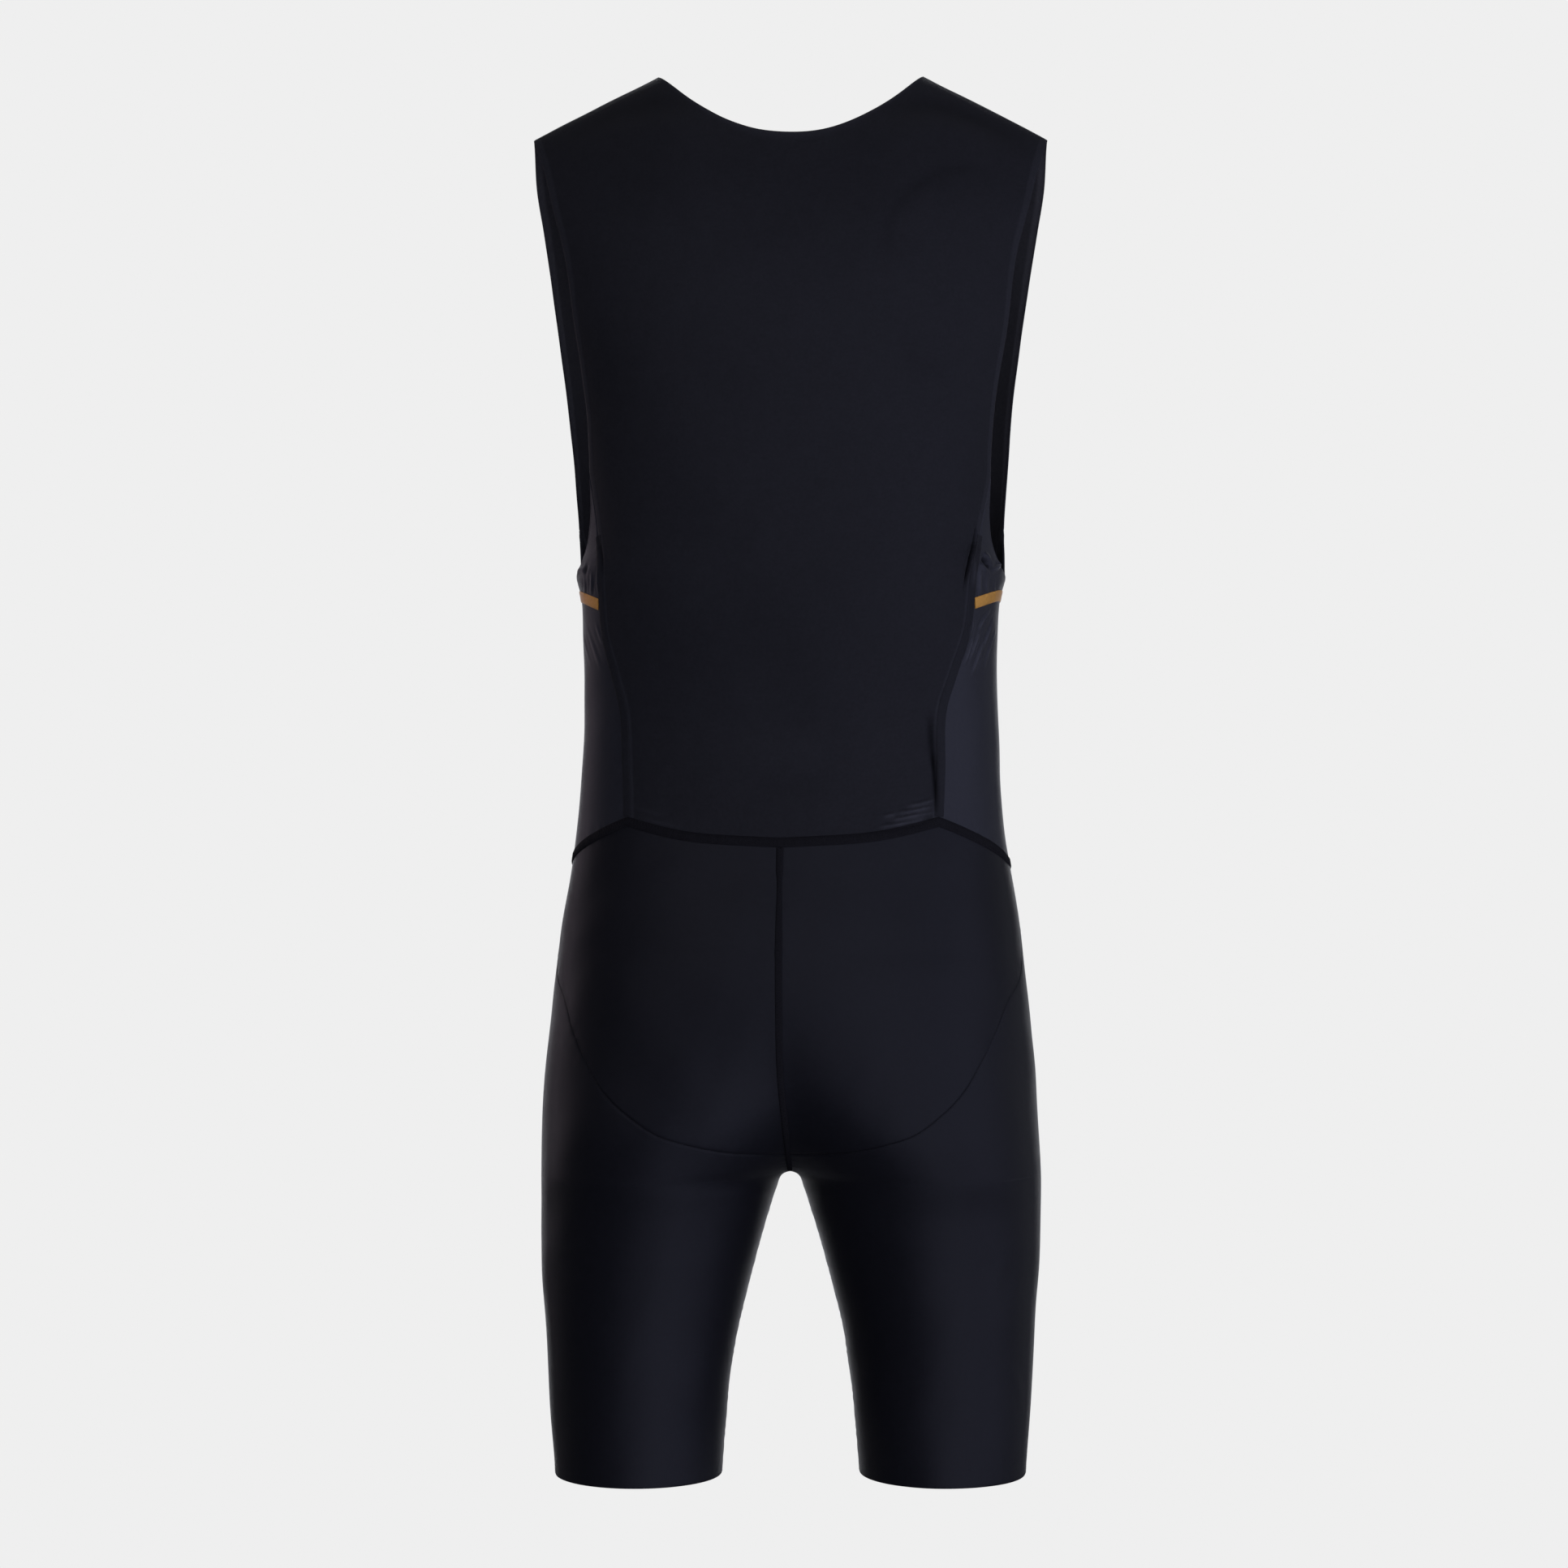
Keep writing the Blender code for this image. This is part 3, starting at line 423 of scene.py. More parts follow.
def form_normal(share, z):
    """Outward directions, kept in the plane of the seam at the centre and the inseam."""
    share, z = np.broadcast_arrays(np.asarray(share, float), np.asarray(z, float))
    share_step, z_step = 1e-4, 0.02 * MM
    low, high = np.maximum(share - share_step, 0.0), np.minimum(share + share_step, 1.0)
    round_way = form_point(high, z) - form_point(low, z)
    up_way = form_point(share, z + z_step) - form_point(share, z - z_step)
    normal = np.cross(round_way, up_way)
    edge = (low == 0.0) | (high == 1.0)
    normal[edge & (z > CROTCH_Z), 0] = 0.0
    normal[edge & (z <= CROTCH_Z), 1] = 0.0
    normal[edge & (np.abs(z - CROTCH_Z) < z_step)] = (0.0, 0.0, -1.0)
    return unit(normal)


def half_spots(places, side):
    """Points and outward directions of places on the right (1) or the left (-1) half."""
    share, z = places[..., 0], places[..., 1]
    flip = np.array([side, 1.0, 1.0])
    return form_point(share, z) * flip, form_normal(share, z) * flip


def round_spots(places, leg=0):
    """Points and directions of places whose share is signed: below 0 on the left half.

    With a leg (1 right, -1 left), the share runs round that leg instead.
    """
    share, z = places[..., 0], places[..., 1]
    if leg:
        return half_spots(np.stack([share % 1.0, z], axis=-1), leg)
    share = (share + 1.0) % 2.0 - 1.0
    flip = np.where(share < 0, -1.0, 1.0)[..., None] * (1, 0, 0) + (0, 1, 1)
    return form_point(np.abs(share), z) * flip, form_normal(np.abs(share), z) * flip


def run_along(points, axis=0):
    """Distance along grid lines from their first point."""
    steps = np.linalg.norm(np.diff(points, axis=axis), axis=-1)
    first = np.zeros_like(np.take(steps, [0], axis=axis))
    return np.concatenate([first, np.cumsum(steps, axis=axis)], axis=axis)


def arc_steps(line, start, end, steps):
    """Places on a line between two of its shares, with the given positions from 0 to 1 by length."""
    t = np.linspace(start, end, MEASURE_STEPS + 1)
    run = run_along(round_spots(line(t))[0])
    return line(np.interp(np.asarray(steps) * run[-1], run, t))


def line_length(line, start=0.0, end=1.0):
    return float(run_along(round_spots(line(np.linspace(start, end, MEASURE_STEPS + 1)))[0])[-1])


def places_of(share, z):
    share, z = np.broadcast_arrays(np.asarray(share, float), np.asarray(z, float))
    return np.stack([share, z], axis=-1)


def upright_line(share, start, end):
    """A line straight up or down the form, from one height to another."""
    return lambda t: places_of(share, start + (end - start) * np.asarray(t))


# Seams as lines of places

WAIST_BACK_LINE = Curve([(share, z * MM) for share, z in WAIST_BACK])
WAIST_FRONT_LINE = Curve([(share, z * MM) for share, z in WAIST_FRONT])
BACK_CORNER = float(share_at(SIDE_SEAM["back"][-1][0] * MM, SIDE_SEAM["back"][-1][1] * MM, False))
FRONT_CORNER = float(share_at(SIDE_SEAM["front"][-1][0] * MM, SIDE_SEAM["front"][-1][1] * MM, True))


def waist_z(share):
    """Height of the waist seam at a share of the way round."""
    share = np.abs((np.asarray(share, float) + 1.0) % 2.0 - 1.0)
    behind = WAIST_BACK_LINE(share * WAIST_BACK[-1][0] / BACK_CORNER)
    past = (share - BACK_CORNER) / (1 - BACK_CORNER)
    ahead = WAIST_FRONT_LINE(WAIST_FRONT[0][0] + (1 - WAIST_FRONT[0][0]) * past)
    return np.where(share <= BACK_CORNER, behind, ahead)


def waist_line(start, end):
    def line(t):
        share = start + (end - start) * np.asarray(t)
        return places_of(share, waist_z(share))

    return line


def table_line(rows):
    """x and height in metres along a table's points, by the share of its length."""
    points = np.array(rows, float) * MM
    run = run_along(points)
    x, z = Curve(list(zip(run, points[:, 0]))), Curve(list(zip(run, points[:, 1])))
    return lambda t: (x(np.asarray(t) * run[-1]), z(np.asarray(t) * run[-1]))


def seat_seam(t):
    """The curved seam under the seat, from the centre back to the waist just past the side."""
    stops = [(float(share_at(x * MM, z * MM, False)), z * MM) for x, z in SEAT_SEAM_BACK]
    stops.append((SEAT_SEAM_TOP_SHARE, float(waist_z(SEAT_SEAM_TOP_SHARE))))
    shares = Curve([(i, stop[0]) for i, stop in enumerate(stops)])
    heights = Curve([(i, stop[1]) for i, stop in enumerate(stops)])
    t = np.asarray(t) * (len(stops) - 1)
    return places_of(shares(t), heights(t))


def side_seam(face):
    """A side seam from the waist up to the armhole."""
    corner = BACK_CORNER if face == "back" else FRONT_CORNER
    bottom, top = float(waist_z(corner)), SIDE_SEAM[face][0][1] * MM
    x_at = width_curve(SIDE_SEAM[face])

    def line(t):
        z = bottom + (top - bottom) * np.asarray(t)
        return places_of(share_at(x_at(z), z, face == "front"), z)

    return line


def spaced(length, step):
    """Positions from 0 to 1 over a length, a step apart and closer at both ends."""
    middle = length - 2 * SECOND_ROW
    count = max(int(round(middle / step)), 1)
    inner = SECOND_ROW + middle * np.arange(count + 1) / count
    return np.concatenate([[0.0, FIRST_ROW], inner, [length - FIRST_ROW, length]]) / length


def finer_at_end(length, step, fine_step, fine_length):
    """Positions from just past 0 to 1 over a length, with finer steps over its last part."""
    count, fine = int((length - fine_length) / step), int(fine_length / fine_step)
    coarse = np.linspace(0, length - fine_length, count + 1)[1:]
    close = length - fine_length + fine_length * np.arange(1, fine + 1) / fine
    return np.concatenate([coarse, close]) / length


def filled_patch(left, right, bottom, top, rise, reach):
    """Places that fill four sides."""
    v, u = np.asarray(rise)[:, None, None], np.asarray(reach)[None, :, None]
    across = left[:, None] * (1 - u) + right[:, None] * u
    upward = bottom[None, :] * (1 - v) + top[None, :] * v
    corners = (bottom[0] * (1 - u) + bottom[-1] * u) * (1 - v) + (top[0] * (1 - u) + top[-1] * u) * v
    return across + upward - corners


# Panels as grids of places, right half, rows upwards and columns onwards

def upper_places(face, step, low_step):
    """Half of the back or the front panel, from the centre to its side, seen flat."""
    front = face == "front"
    corner = FRONT_CORNER if front else BACK_CORNER
    seam_x, arm_x = width_curve(SIDE_SEAM[face]), width_curve(ARMHOLE[face])
    bottom_z, seam_top, tip = float(waist_z(corner)), SIDE_SEAM[face][0][1] * MM, -SHOULDER_DROP
    low_top = bottom_z + LOW_ROWS
    z = np.concatenate([
        [bottom_z, bottom_z + FIRST_ROW],
        np.arange(bottom_z + SECOND_ROW, low_top, low_step),
        np.linspace(low_top, tip - SECOND_ROW, int((tip - low_top) / step)),
        [tip - FIRST_ROW, tip],
    ])
    right = np.stack([np.where(z < seam_top, seam_x(z), arm_x(z)), z], axis=-1)
    neck_reach = NECK_HALF_WIDTH / SHOULDER_TIP_X
    neck = np.sin(np.linspace(0, math.pi / 2, int(NECK_HALF_WIDTH / step * 1.2))) * neck_reach
    shoulder = finer_at_end(SHOULDER_TIP_X - NECK_HALF_WIDTH, step, ARMHOLE_FINENESS * step, ARMHOLE_ROWS)
    reach = np.concatenate([neck, neck_reach + (1 - neck_reach) * shoulder])
    top_x = reach * SHOULDER_TIP_X
    ratio = np.clip(top_x / NECK_HALF_WIDTH, 0, 1)
    neck_z = -NECK_DEPTH[face] * (1 - ratio ** NECK_CURVE[face])
    top = np.stack([top_x, np.where(ratio < 1, neck_z, ridge_height(top_x))], axis=-1)
    along = arc_steps(waist_line(1.0 if front else 0.0, corner), 0, 1, reach)
    bottom = form_point(along[:, 0], along[:, 1])[:, ::2]
    rise = (z - z[0]) / (z[-1] - z[0])
    left = np.stack([np.zeros_like(z), bottom[0, 1] + (top[0, 1] - bottom[0, 1]) * rise], axis=-1)
    flat = filled_patch(left, right, bottom, top, rise, reach)
    return places_of(share_at(flat[..., 0], flat[..., 1], front), flat[..., 1])


def side_places(column_step, row_step):
    """The side panel, in one part below the band and one above it."""
    armhole_back, armhole_front = table_line(ARMHOLE_LOW["back"]), table_line(ARMHOLE_LOW["front"])

    def armhole(t):
        t = np.asarray(t)
        back_x, back_z = armhole_back(np.clip(2 * t, 0, 1))
        front_x, front_z = armhole_front(np.clip(2 - 2 * t, 0, 1))
        back = places_of(share_at(back_x, back_z, False), back_z)
        front = places_of(share_at(front_x, front_z, True), front_z)
        return np.where((t < 0.5)[..., None], back, front)

    waist = waist_line(BACK_CORNER, FRONT_CORNER)
    reach = spaced(line_length(waist), column_step)
    bottom, top = arc_steps(waist, 0, 1, reach), arc_steps(armhole, 0, 1, reach)
    band = {level: arc_steps(band_line(level), 0, 1, reach) for level in (BAND_BOTTOM_Z, BAND_TOP_Z)}
    rows = []
    for face, rise in (("back", 0.0), ("front", BAND_RISE)):
        x_at, line = width_curve(SIDE_SEAM[face]), side_seam(face)
        start, end = float(line(0.0)[1]), float(line(1.0)[1])
        low_steps = spaced(BAND_BOTTOM_Z - float(waist_z(BACK_CORNER)), row_step)
        high_steps = spaced(float(side_seam("back")(1.0)[1]) - BAND_TOP_Z, row_step)
        low = start + (BAND_BOTTOM_Z + rise - start) * low_steps
        high = BAND_TOP_Z + rise + (end - BAND_TOP_Z - rise) * high_steps
        rows.append([places_of(share_at(x_at(z), z, face == "front"), z) for z in (low, high)])
    below = filled_patch(rows[0][0], rows[1][0], bottom, band[BAND_BOTTOM_Z], low_steps, reach)
    above = filled_patch(rows[0][1], rows[1][1], band[BAND_TOP_Z], top, high_steps, reach)
    middle = [(below[-1] * (1 - t) + above[0] * t)[None] for t in (0.25, 0.5, 0.75)]
    return np.concatenate([below] + middle + [above])


def band_line(level):
    """A level of the band: rising from the back seam to the middle of the side, then level."""
    start = float(share_at(width_curve(SIDE_SEAM["back"])(level), level, False))
    front_z = level + BAND_RISE
    end = float(share_at(width_curve(SIDE_SEAM["front"])(front_z), front_z, True))

    def line(t):
        t = np.asarray(t)
        return places_of(
            start + (end - start) * t, level + BAND_RISE * np.sin(math.pi / 2 * np.minimum(2 * t, 1))
        )

    return line


def seat_corner():
    t = np.linspace(0, 1, MEASURE_STEPS + 1)
    return float(t[np.argmax(seat_seam(t)[:, 1] > SEAT_CORNER_Z)])


SEAT_CORNER = seat_corner()


def seat_places(step):
    """The seat panel, from the centre back to past the side."""
    waist = waist_line(0.0, SEAT_SEAM_TOP_SHARE)
    reach, rise = spaced(line_length(waist), step), spaced(SEAT_RISE, step)
    bottom = arc_steps(seat_seam, 0, SEAT_CORNER, reach)
    right = arc_steps(seat_seam, SEAT_CORNER, 1, rise)
    top = arc_steps(waist, 0, 1, reach)
    left = places_of(0.0, bottom[0, 1] + (top[0, 1] - bottom[0, 1]) * rise)
    return filled_patch(left, right, bottom, top, rise, reach)


def leg_places(step):
    """The leg panel: round the leg, and up the side and the front to the waist."""
    waist = waist_line(SEAT_SEAM_TOP_SHARE, 1.0)
    parts = ((seat_seam, 0, SEAT_CORNER), (seat_seam, SEAT_CORNER, 1), (waist, 0, 1))
    lengths = [line_length(*part) for part in parts]
    tops, reach, before = [], [], 0.0
    for k, (part, length) in enumerate(zip(parts, lengths)):
        count = int(round(length / step))
        steps = np.arange(count + 1) / count
        if k == 0:
            steps = np.concatenate([[0.0, FIRST_ROW / length], steps[1:]])
        else:
            steps = steps[1:]
        if k == 2:
            steps = np.concatenate([steps[:-1], [1 - FIRST_ROW / length, 1.0]])
        tops.append(arc_steps(*part, steps))
        reach.append((before + steps * length) / sum(lengths))
        before += length
    top, reach = np.concatenate(tops), np.concatenate(reach)
    ring = places_of(reach, CROTCH_Z)
    rise = np.concatenate([[0.0], spaced(LEG_RISE, step)[2:]])
    left = places_of(0.0, CROTCH_Z + (top[0, 1] - CROTCH_Z) * rise)
    right = places_of(1.0, CROTCH_Z + (top[-1, 1] - CROTCH_Z) * rise)
    upper = filled_patch(left, right, ring, top, rise, reach)
    drop = spaced(CROTCH_Z - HEM_Z, step)[:-3]
    eased = HEM_Z + (CROTCH_Z - HEM_Z) * (1 - (1 - drop) ** 1.5)
    lower = places_of(reach[None, :], eased[:, None])
    return np.concatenate([lower, upper])


# Relief of the cloth

def path_on_form(face, path):
    """Points on the form under a path seen from the back or the front."""
    path = np.array(path, float) * MM
    steps = np.linspace(0, 1, 6 * (len(path) - 1) + 1)
    knots = np.linspace(0, 1, len(path))
    x, z = Curve(list(zip(knots, path[:, 0])))(steps), Curve(list(zip(knots, path[:, 1])))(steps)
    points = form_point(share_at(np.abs(x), z, face == "front"), z)
    points[:, 0] = np.copysign(points[:, 0], x)
    return points


def nearest_on_line(points, line):
    """Distance of each point to a line, how far along it the nearest place is, and the line's length."""
    best, run, start = np.full(len(points), np.inf), np.zeros(len(points)), 0.0
    for a, b in zip(line[:-1], line[1:]):
        step = b - a
        length = float(np.linalg.norm(step))
        if length < 1e-9:
            continue
        t = np.clip((points - a) @ step / length ** 2, 0.0, 1.0)
        distance = np.linalg.norm(points - a - t[:, None] * step, axis=1)
        closer = distance < best
        best[closer] = distance[closer]
        run[closer] = start + t[closer] * length
        start += length
    return best, run, start


def near(points, line, reach):
    low, high = line.min(axis=0) - reach, line.max(axis=0) + reach
    return np.all((points > low) & (points < high), axis=1)


def sampled(line, count, side):
    """Points along a line that runs round the body, or on the right (1) or the left (-1) half."""
    places = line(np.linspace(0, 1, count))
    return half_spots(places, side)[0] if side else round_spots(places)[0]


def sewn_lines():
    """The main sewn lines, which pucker the cloth beside them."""
    lines = [
        (waist_line(-1.0, 1.0), 260, 0),
        (upright_line(0.0, CROTCH_Z, WAIST_Z), 40, 0),
        (upright_line(1.0, CROTCH_Z, FRONT_WAIST_Z), 40, 0),
    ]
    for side in SIDES:
        lines += [(side_seam("back"), 50, side), (side_seam("front"), 50, side), (seat_seam, 80, side)]
        lines.append((upright_line(0.0, CROTCH_Z, HEM_Z), 40, side))
    return [sampled(*line) for line in lines]


PUCKER_REACH = 7 * MM
PUCKER_HEIGHT = 0.16 * MM
PUCKER_LENGTH = 8.5 * MM
HOLLOW_BESIDE_CREASE = 0.35
CREASE_REACH = 4
CREASE_TAPER = 0.7
# A fold's painted highlight on a ridge, and its painted shade in a slot, are full where its half width is
# at most the first and its height at least the second
SHARP_FOLD = 2.5 * MM
FULL_FOLD = 1.5 * MM


class Relief:
    """How far the cloth stands off the plain form."""

    def __init__(self, crease_scale, pucker_scale):
        self.creases = []
        for face, rows in (("back", BACK_CREASES), ("front", FRONT_CREASES)):
            for row in rows:
                crease = dict(zip(CREASE_COLUMNS, row))
                line = path_on_form(face, crease["path"])
                height = crease["height"] * MM * crease_scale
                self.creases.append((line, crease["half_width"] * MM, height))
        self.sewn = sewn_lines()
        self.pucker = PUCKER_HEIGHT * pucker_scale
        self.scale = crease_scale

    def near_creases(self, flat):
        """For each crease near some points: which they are, its strength and distance there, its size.

        The distance is counted in half widths of the crease.
        """
        for line, half_width, height in self.creases:
            picked = near(flat, line, CREASE_REACH * half_width)
            if picked.any():
                away, run, length = nearest_on_line(flat[picked], line)
                strength = np.sin(math.pi * np.clip(run / length, 0.02, 0.98)) ** CREASE_TAPER
                yield picked, strength, away / half_width, half_width, height

    def __call__(self, points):
        flat = points.reshape(-1, 3)
        total = np.zeros(len(flat))
        for row in WAVES:
            wave = dict(zip(WAVE_COLUMNS, row))
            phase = flat @ np.array(wave["direction"]) * 2 * math.pi / (wave["wavelength"] * MM)
            total += wave["height"] * MM * self.scale * np.sin(phase + 1.3 * np.sin(phase * 0.37 + 1.0))
        for picked, strength, away, _, height in self.near_creases(flat):
            hollow = HOLLOW_BESIDE_CREASE * np.exp(-((away - 2) / 0.9) ** 2)
            total[picked] += height * strength * (np.exp(-away ** 2) - hollow)
        for line in self.sewn:
            picked = near(flat, line, 2.5 * PUCKER_REACH)
            if picked.any():
                away, run, _ = nearest_on_line(flat[picked], line)
                turns = run / PUCKER_LENGTH * 2 * math.pi
                uneven = 0.55 + 0.45 * np.sin(turns * 0.19 + 2.0) * np.sin(turns * 0.071)
                beat = np.sin(turns + 1.7 * np.sin(turns * 0.31))
                total[picked] += self.pucker * uneven * beat * np.exp(-(away / PUCKER_REACH) ** 2)
        return total.reshape(points.shape[:-1])

    def painted_light_at_folds(self, points):
        """Where light and shade are painted at the sharp folds: 1, a painted highlight, on a high ridge,
        -1, painted shade, in a deep slot, and 0 beside them.
        """
        flat = points.reshape(-1, 3)
        total = np.zeros(len(flat))
        for picked, strength, away, half_width, height in self.near_creases(flat):
            depth = np.clip(height / FULL_FOLD, -1, 1) * min(1.0, SHARP_FOLD / half_width)
            total[picked] += depth * strength * np.exp(-away ** 2)
        return np.clip(total, -1, 1).reshape(points.shape[:-1])


def turned(points, normals):
    """Points and directions turned about the upright axis, as the cloth sits on the form."""
    angle = TURN(points[..., 2])
    cosine, sine = np.cos(angle), np.sin(angle)

    def turn(v):
        x, y, z = v[..., 0], v[..., 1], v[..., 2]
        return np.stack([x * cosine + y * sine, y * cosine - x * sine, z], axis=-1)

    return turn(points), turn(normals)


# Meshes

def wall_corners(grid, ring):
    """Corners of the faces on a grid of numbers: the outer face, the inner face, then the rims."""
    cells = [grid[:-1, :-1], grid[:-1, 1:], grid[1:, 1:], grid[1:, :-1]]
    rims = [grid[:, 0], grid[::-1, -1]]
    if not ring:
        rims += [grid[0, ::-1], grid[-1]]
    faces = [cells, cells[::-1]] + [(rim[:-1], rim[1:], rim[1:], rim[:-1]) for rim in rims]
    return np.concatenate([np.stack(face, axis=-1).reshape(-1, 4) for face in faces])


def new_piece(name, points, faces, materials):
    """An object with a smooth mesh."""
    mesh = bpy.data.meshes.new(name)
    mesh.from_pydata(points.tolist(), [], faces)
    for material in materials:
        mesh.materials.append(material)
    mesh.shade_smooth()
    piece = bpy.data.objects.new(name, mesh)
    bpy.context.scene.collection.objects.link(piece)
    return piece


def wall(name, top, bottom, uv, materials, marks, ring=False):
    """A closed wall between two grids of points, with a UV map in metres.

    The second material, if there is one, is that of its inner face. marks are the attributes to write,
    with one value for each point of the grid.
    """
    rows, columns = top.shape[:2]
    count = rows * columns
    index = np.arange(count).reshape(rows, columns)
    if ring:
        index = np.concatenate([index, index[:1]])
    faces = wall_corners(index, ring)
    outer_faces = (len(index) - 1) * (columns - 1)
    faces[outer_faces:2 * outer_faces] += count
    faces[2 * outer_faces:, 2:] += count
    points = np.concatenate([top.reshape(-1, 3), bottom.reshape(-1, 3)])
    piece = new_piece(name, points, faces.tolist(), materials)
    mesh = piece.data
    corners = wall_corners(np.arange(uv.shape[0] * columns).reshape(-1, columns), ring)
    layer = mesh.uv_layers.new(name="cloth")
    layer.data.foreach_set("uv", uv.reshape(-1, 2)[corners.ravel()].ravel())
    if len(materials) > 1:
        inner = np.zeros(len(faces), np.int32)
        inner[outer_faces:2 * outer_faces] = 1
        mesh.polygons.foreach_set("material_index", inner)
    for mark, values in marks.items():
        layer = mesh.attributes.new(mark, "FLOAT", "POINT")
        layer.data.foreach_set("value", np.tile(values.ravel(), 2).astype(np.float32))
    mesh.set_sharp_from_angle(angle=SHARP_ANGLE)
    return piece


def edge_distance(points, edges):
    """Distance of each point from the nearest of the named edges, along the grid."""
    nearest = np.full(points.shape[:2], FAR)
    for edge in edges:
        axis, end = EDGES[edge]
        away = run_along(np.flip(points, axis) if end else points, axis)
        nearest = np.minimum(nearest, np.flip(away, axis) if end else away)
    return nearest


def cloth_panel(name, spots, relief, thickness, materials, sewn, free=()):
    """A panel as a thin shell: sewn edges are drawn back by half the seam gap, and edges roll in."""
    points, normals = spots
    roll = EDGE_ROLL * np.exp(-(edge_distance(points, sewn) / EDGE_ROLL_REACH) ** 2)
    free_away = edge_distance(points, free)
    free_roll = EDGE_ROLL * np.exp(-(free_away / FREE_ROLL_REACH) ** 2)
    hem = 1 - ease(free_away, HEM_STRIP - 1.2 * MM, HEM_STRIP)
    lift = relief(points) - roll + HEM_STRIP_RAISE * hem - free_roll
    uv = np.stack([run_along(points, 1), run_along(points, 0)], axis=-1)
    uv[..., 0] -= uv[:, -1:, 0] / 2
    # The fold mark says where light and shade are painted: 1 for a highlight on a sharp ridge, -1 for shade
    # in a slot
    marks = {"hem": hem, "painted_fold_light": relief.painted_light_at_folds(points)}
    points, normals = turned(points, normals)
    moved = points.copy()
    for edge in sewn:
        axis, end = EDGES[edge]
        lines, moved_lines = np.moveaxis(points, axis, 0), np.moveaxis(moved, axis, 0)
        inwards = lines[-2 if end else 1] - lines[end]
        moved_lines[end] += unit(inwards) * SEAM_GAP / 2
    top = moved + normals * lift[..., None]
    return wall(name, top, top - normals * thickness, uv, materials, marks)


def offset_places(places, distance, leg=0, closed=False):
    """Places moved sideways on the body, square to their line, to its left as seen from outside."""
    if closed:
        places = np.concatenate([places[-3:] - (2, 0), places, places[:3] + (2, 0)])
    points, normals = round_spots(places, leg)
    side = unit(np.cross(normals, unit(np.gradient(points, axis=0))))
    share_step, z_step = np.array([2e-4, 0.0]), np.array([0.0, 0.05 * MM])
    by_share = round_spots(places + share_step, leg)[0] - round_spots(places - share_step, leg)[0]
    by_z = round_spots(places + z_step, leg)[0] - round_spots(places - z_step, leg)[0]
    by_share, by_z = by_share / (2 * share_step[0]), by_z / (2 * z_step[1])
    a, b, c = (by_share ** 2).sum(-1), (by_share * by_z).sum(-1), (by_z ** 2).sum(-1)
    d, e = (by_share * side).sum(-1), (by_z * side).sum(-1)
    move = np.stack([d * c - e * b, a * e - b * d], axis=-1) / (a * c - b * b)[:, None]
    moved = places + distance * move
    return moved[3:-3] if closed else moved


def strip(name, places, half_width, lifts, relief, material, closed=False):
    """A tape or band over a line of places, crowned, with its rims rounded down.

    lifts are those of its underside, its rims and its middle.
    """
    under, rim, middle = lifts
    offsets = np.sin(np.linspace(-math.pi / 2, math.pi / 2, STRIP_COLUMNS))
    columns = []
    for offset in offsets:
        points, normals = round_spots(offset_places(places, -offset * half_width, closed=closed))
        raised, painted_light_at_folds = relief(points)[:, None], relief.painted_light_at_folds(points)
        points, normals = turned(points, normals)
        crown = rim + (middle - rim) * (1 - abs(offset) ** 6)
        columns.append((points + normals * (raised + crown), points + normals * (raised + under), painted_light_at_folds))
    top, bottom, painted_light_at_folds = (np.stack(part, axis=1) for part in zip(*columns))
    run = run_along(top)[:, STRIP_COLUMNS // 2]
    if closed:
        last = np.linalg.norm(top[0, STRIP_COLUMNS // 2] - top[-1, STRIP_COLUMNS // 2])
        run = np.append(run, run[-1] + last)
    uv = np.stack(np.broadcast_arrays(offsets[None, :] * half_width, run[:, None]), axis=-1)
    # The fold mark paints highlights on the tape's sharp ridges and shade in its slots
    return wall(name, top, bottom, uv, [material], {"painted_fold_light": painted_light_at_folds}, ring=closed)


def zigzag_thread(name, places, pitch, stitch, relief, material, leg=0):
    """A cover stitch: one thread that crosses a seam from side to side.

    stitch is its half width, the radius of its thread and its lift off the cloth.
    """
    half_width, radius, lift = stitch
    run = run_along(round_spots(places, leg)[0])
    count = int(run[-1] / pitch) * 4
    at = np.linspace(0, run[-1], count + 1)
    dense = np.stack([np.interp(at, run, places[:, k]) for k in (0, 1)], axis=-1)
    swing = np.tile([0.0, 1.0, 0.0, -1.0], count // 4 + 1)[:count + 1, None]
    left, right = offset_places(dense, half_width, leg), offset_places(dense, -half_width, leg)
    points, normals = round_spots(np.where(swing > 0, left, np.where(swing < 0, right, dense)), leg)
    raised = relief(points)
    points, normals = turned(points, normals)
    points = points + normals * (raised + lift)[:, None]
    side = unit(np.cross(normals, unit(np.gradient(points, axis=0))))
    rings = [points + radius * (side * math.cos(a) + normals * math.sin(a)) for a in THREAD_CORNERS]
    faces = [
        (3 * i + k, 3 * i + (k + 1) % 3, 3 * i + (k + 1) % 3 + 3, 3 * i + k + 3)
        for i in range(len(points) - 1) for k in range(3)
    ]
    last = 3 * (len(points) - 1)
    faces += [(2, 1, 0), (last, last + 1, last + 2)]
    return new_piece(name, np.stack(rings, axis=1).reshape(-1, 3), faces, [material])


def joined(name, pieces):
    """Several meshes as one piece."""
    bpy.ops.object.select_all(action="DESELECT")
    for piece in pieces:
        piece.select_set(True)
    bpy.context.view_layer.objects.active = pieces[0]
    bpy.ops.object.join()
    whole = bpy.context.view_layer.objects.active
    whole.name = name
    whole.data.name = name
    return whole


# Materials

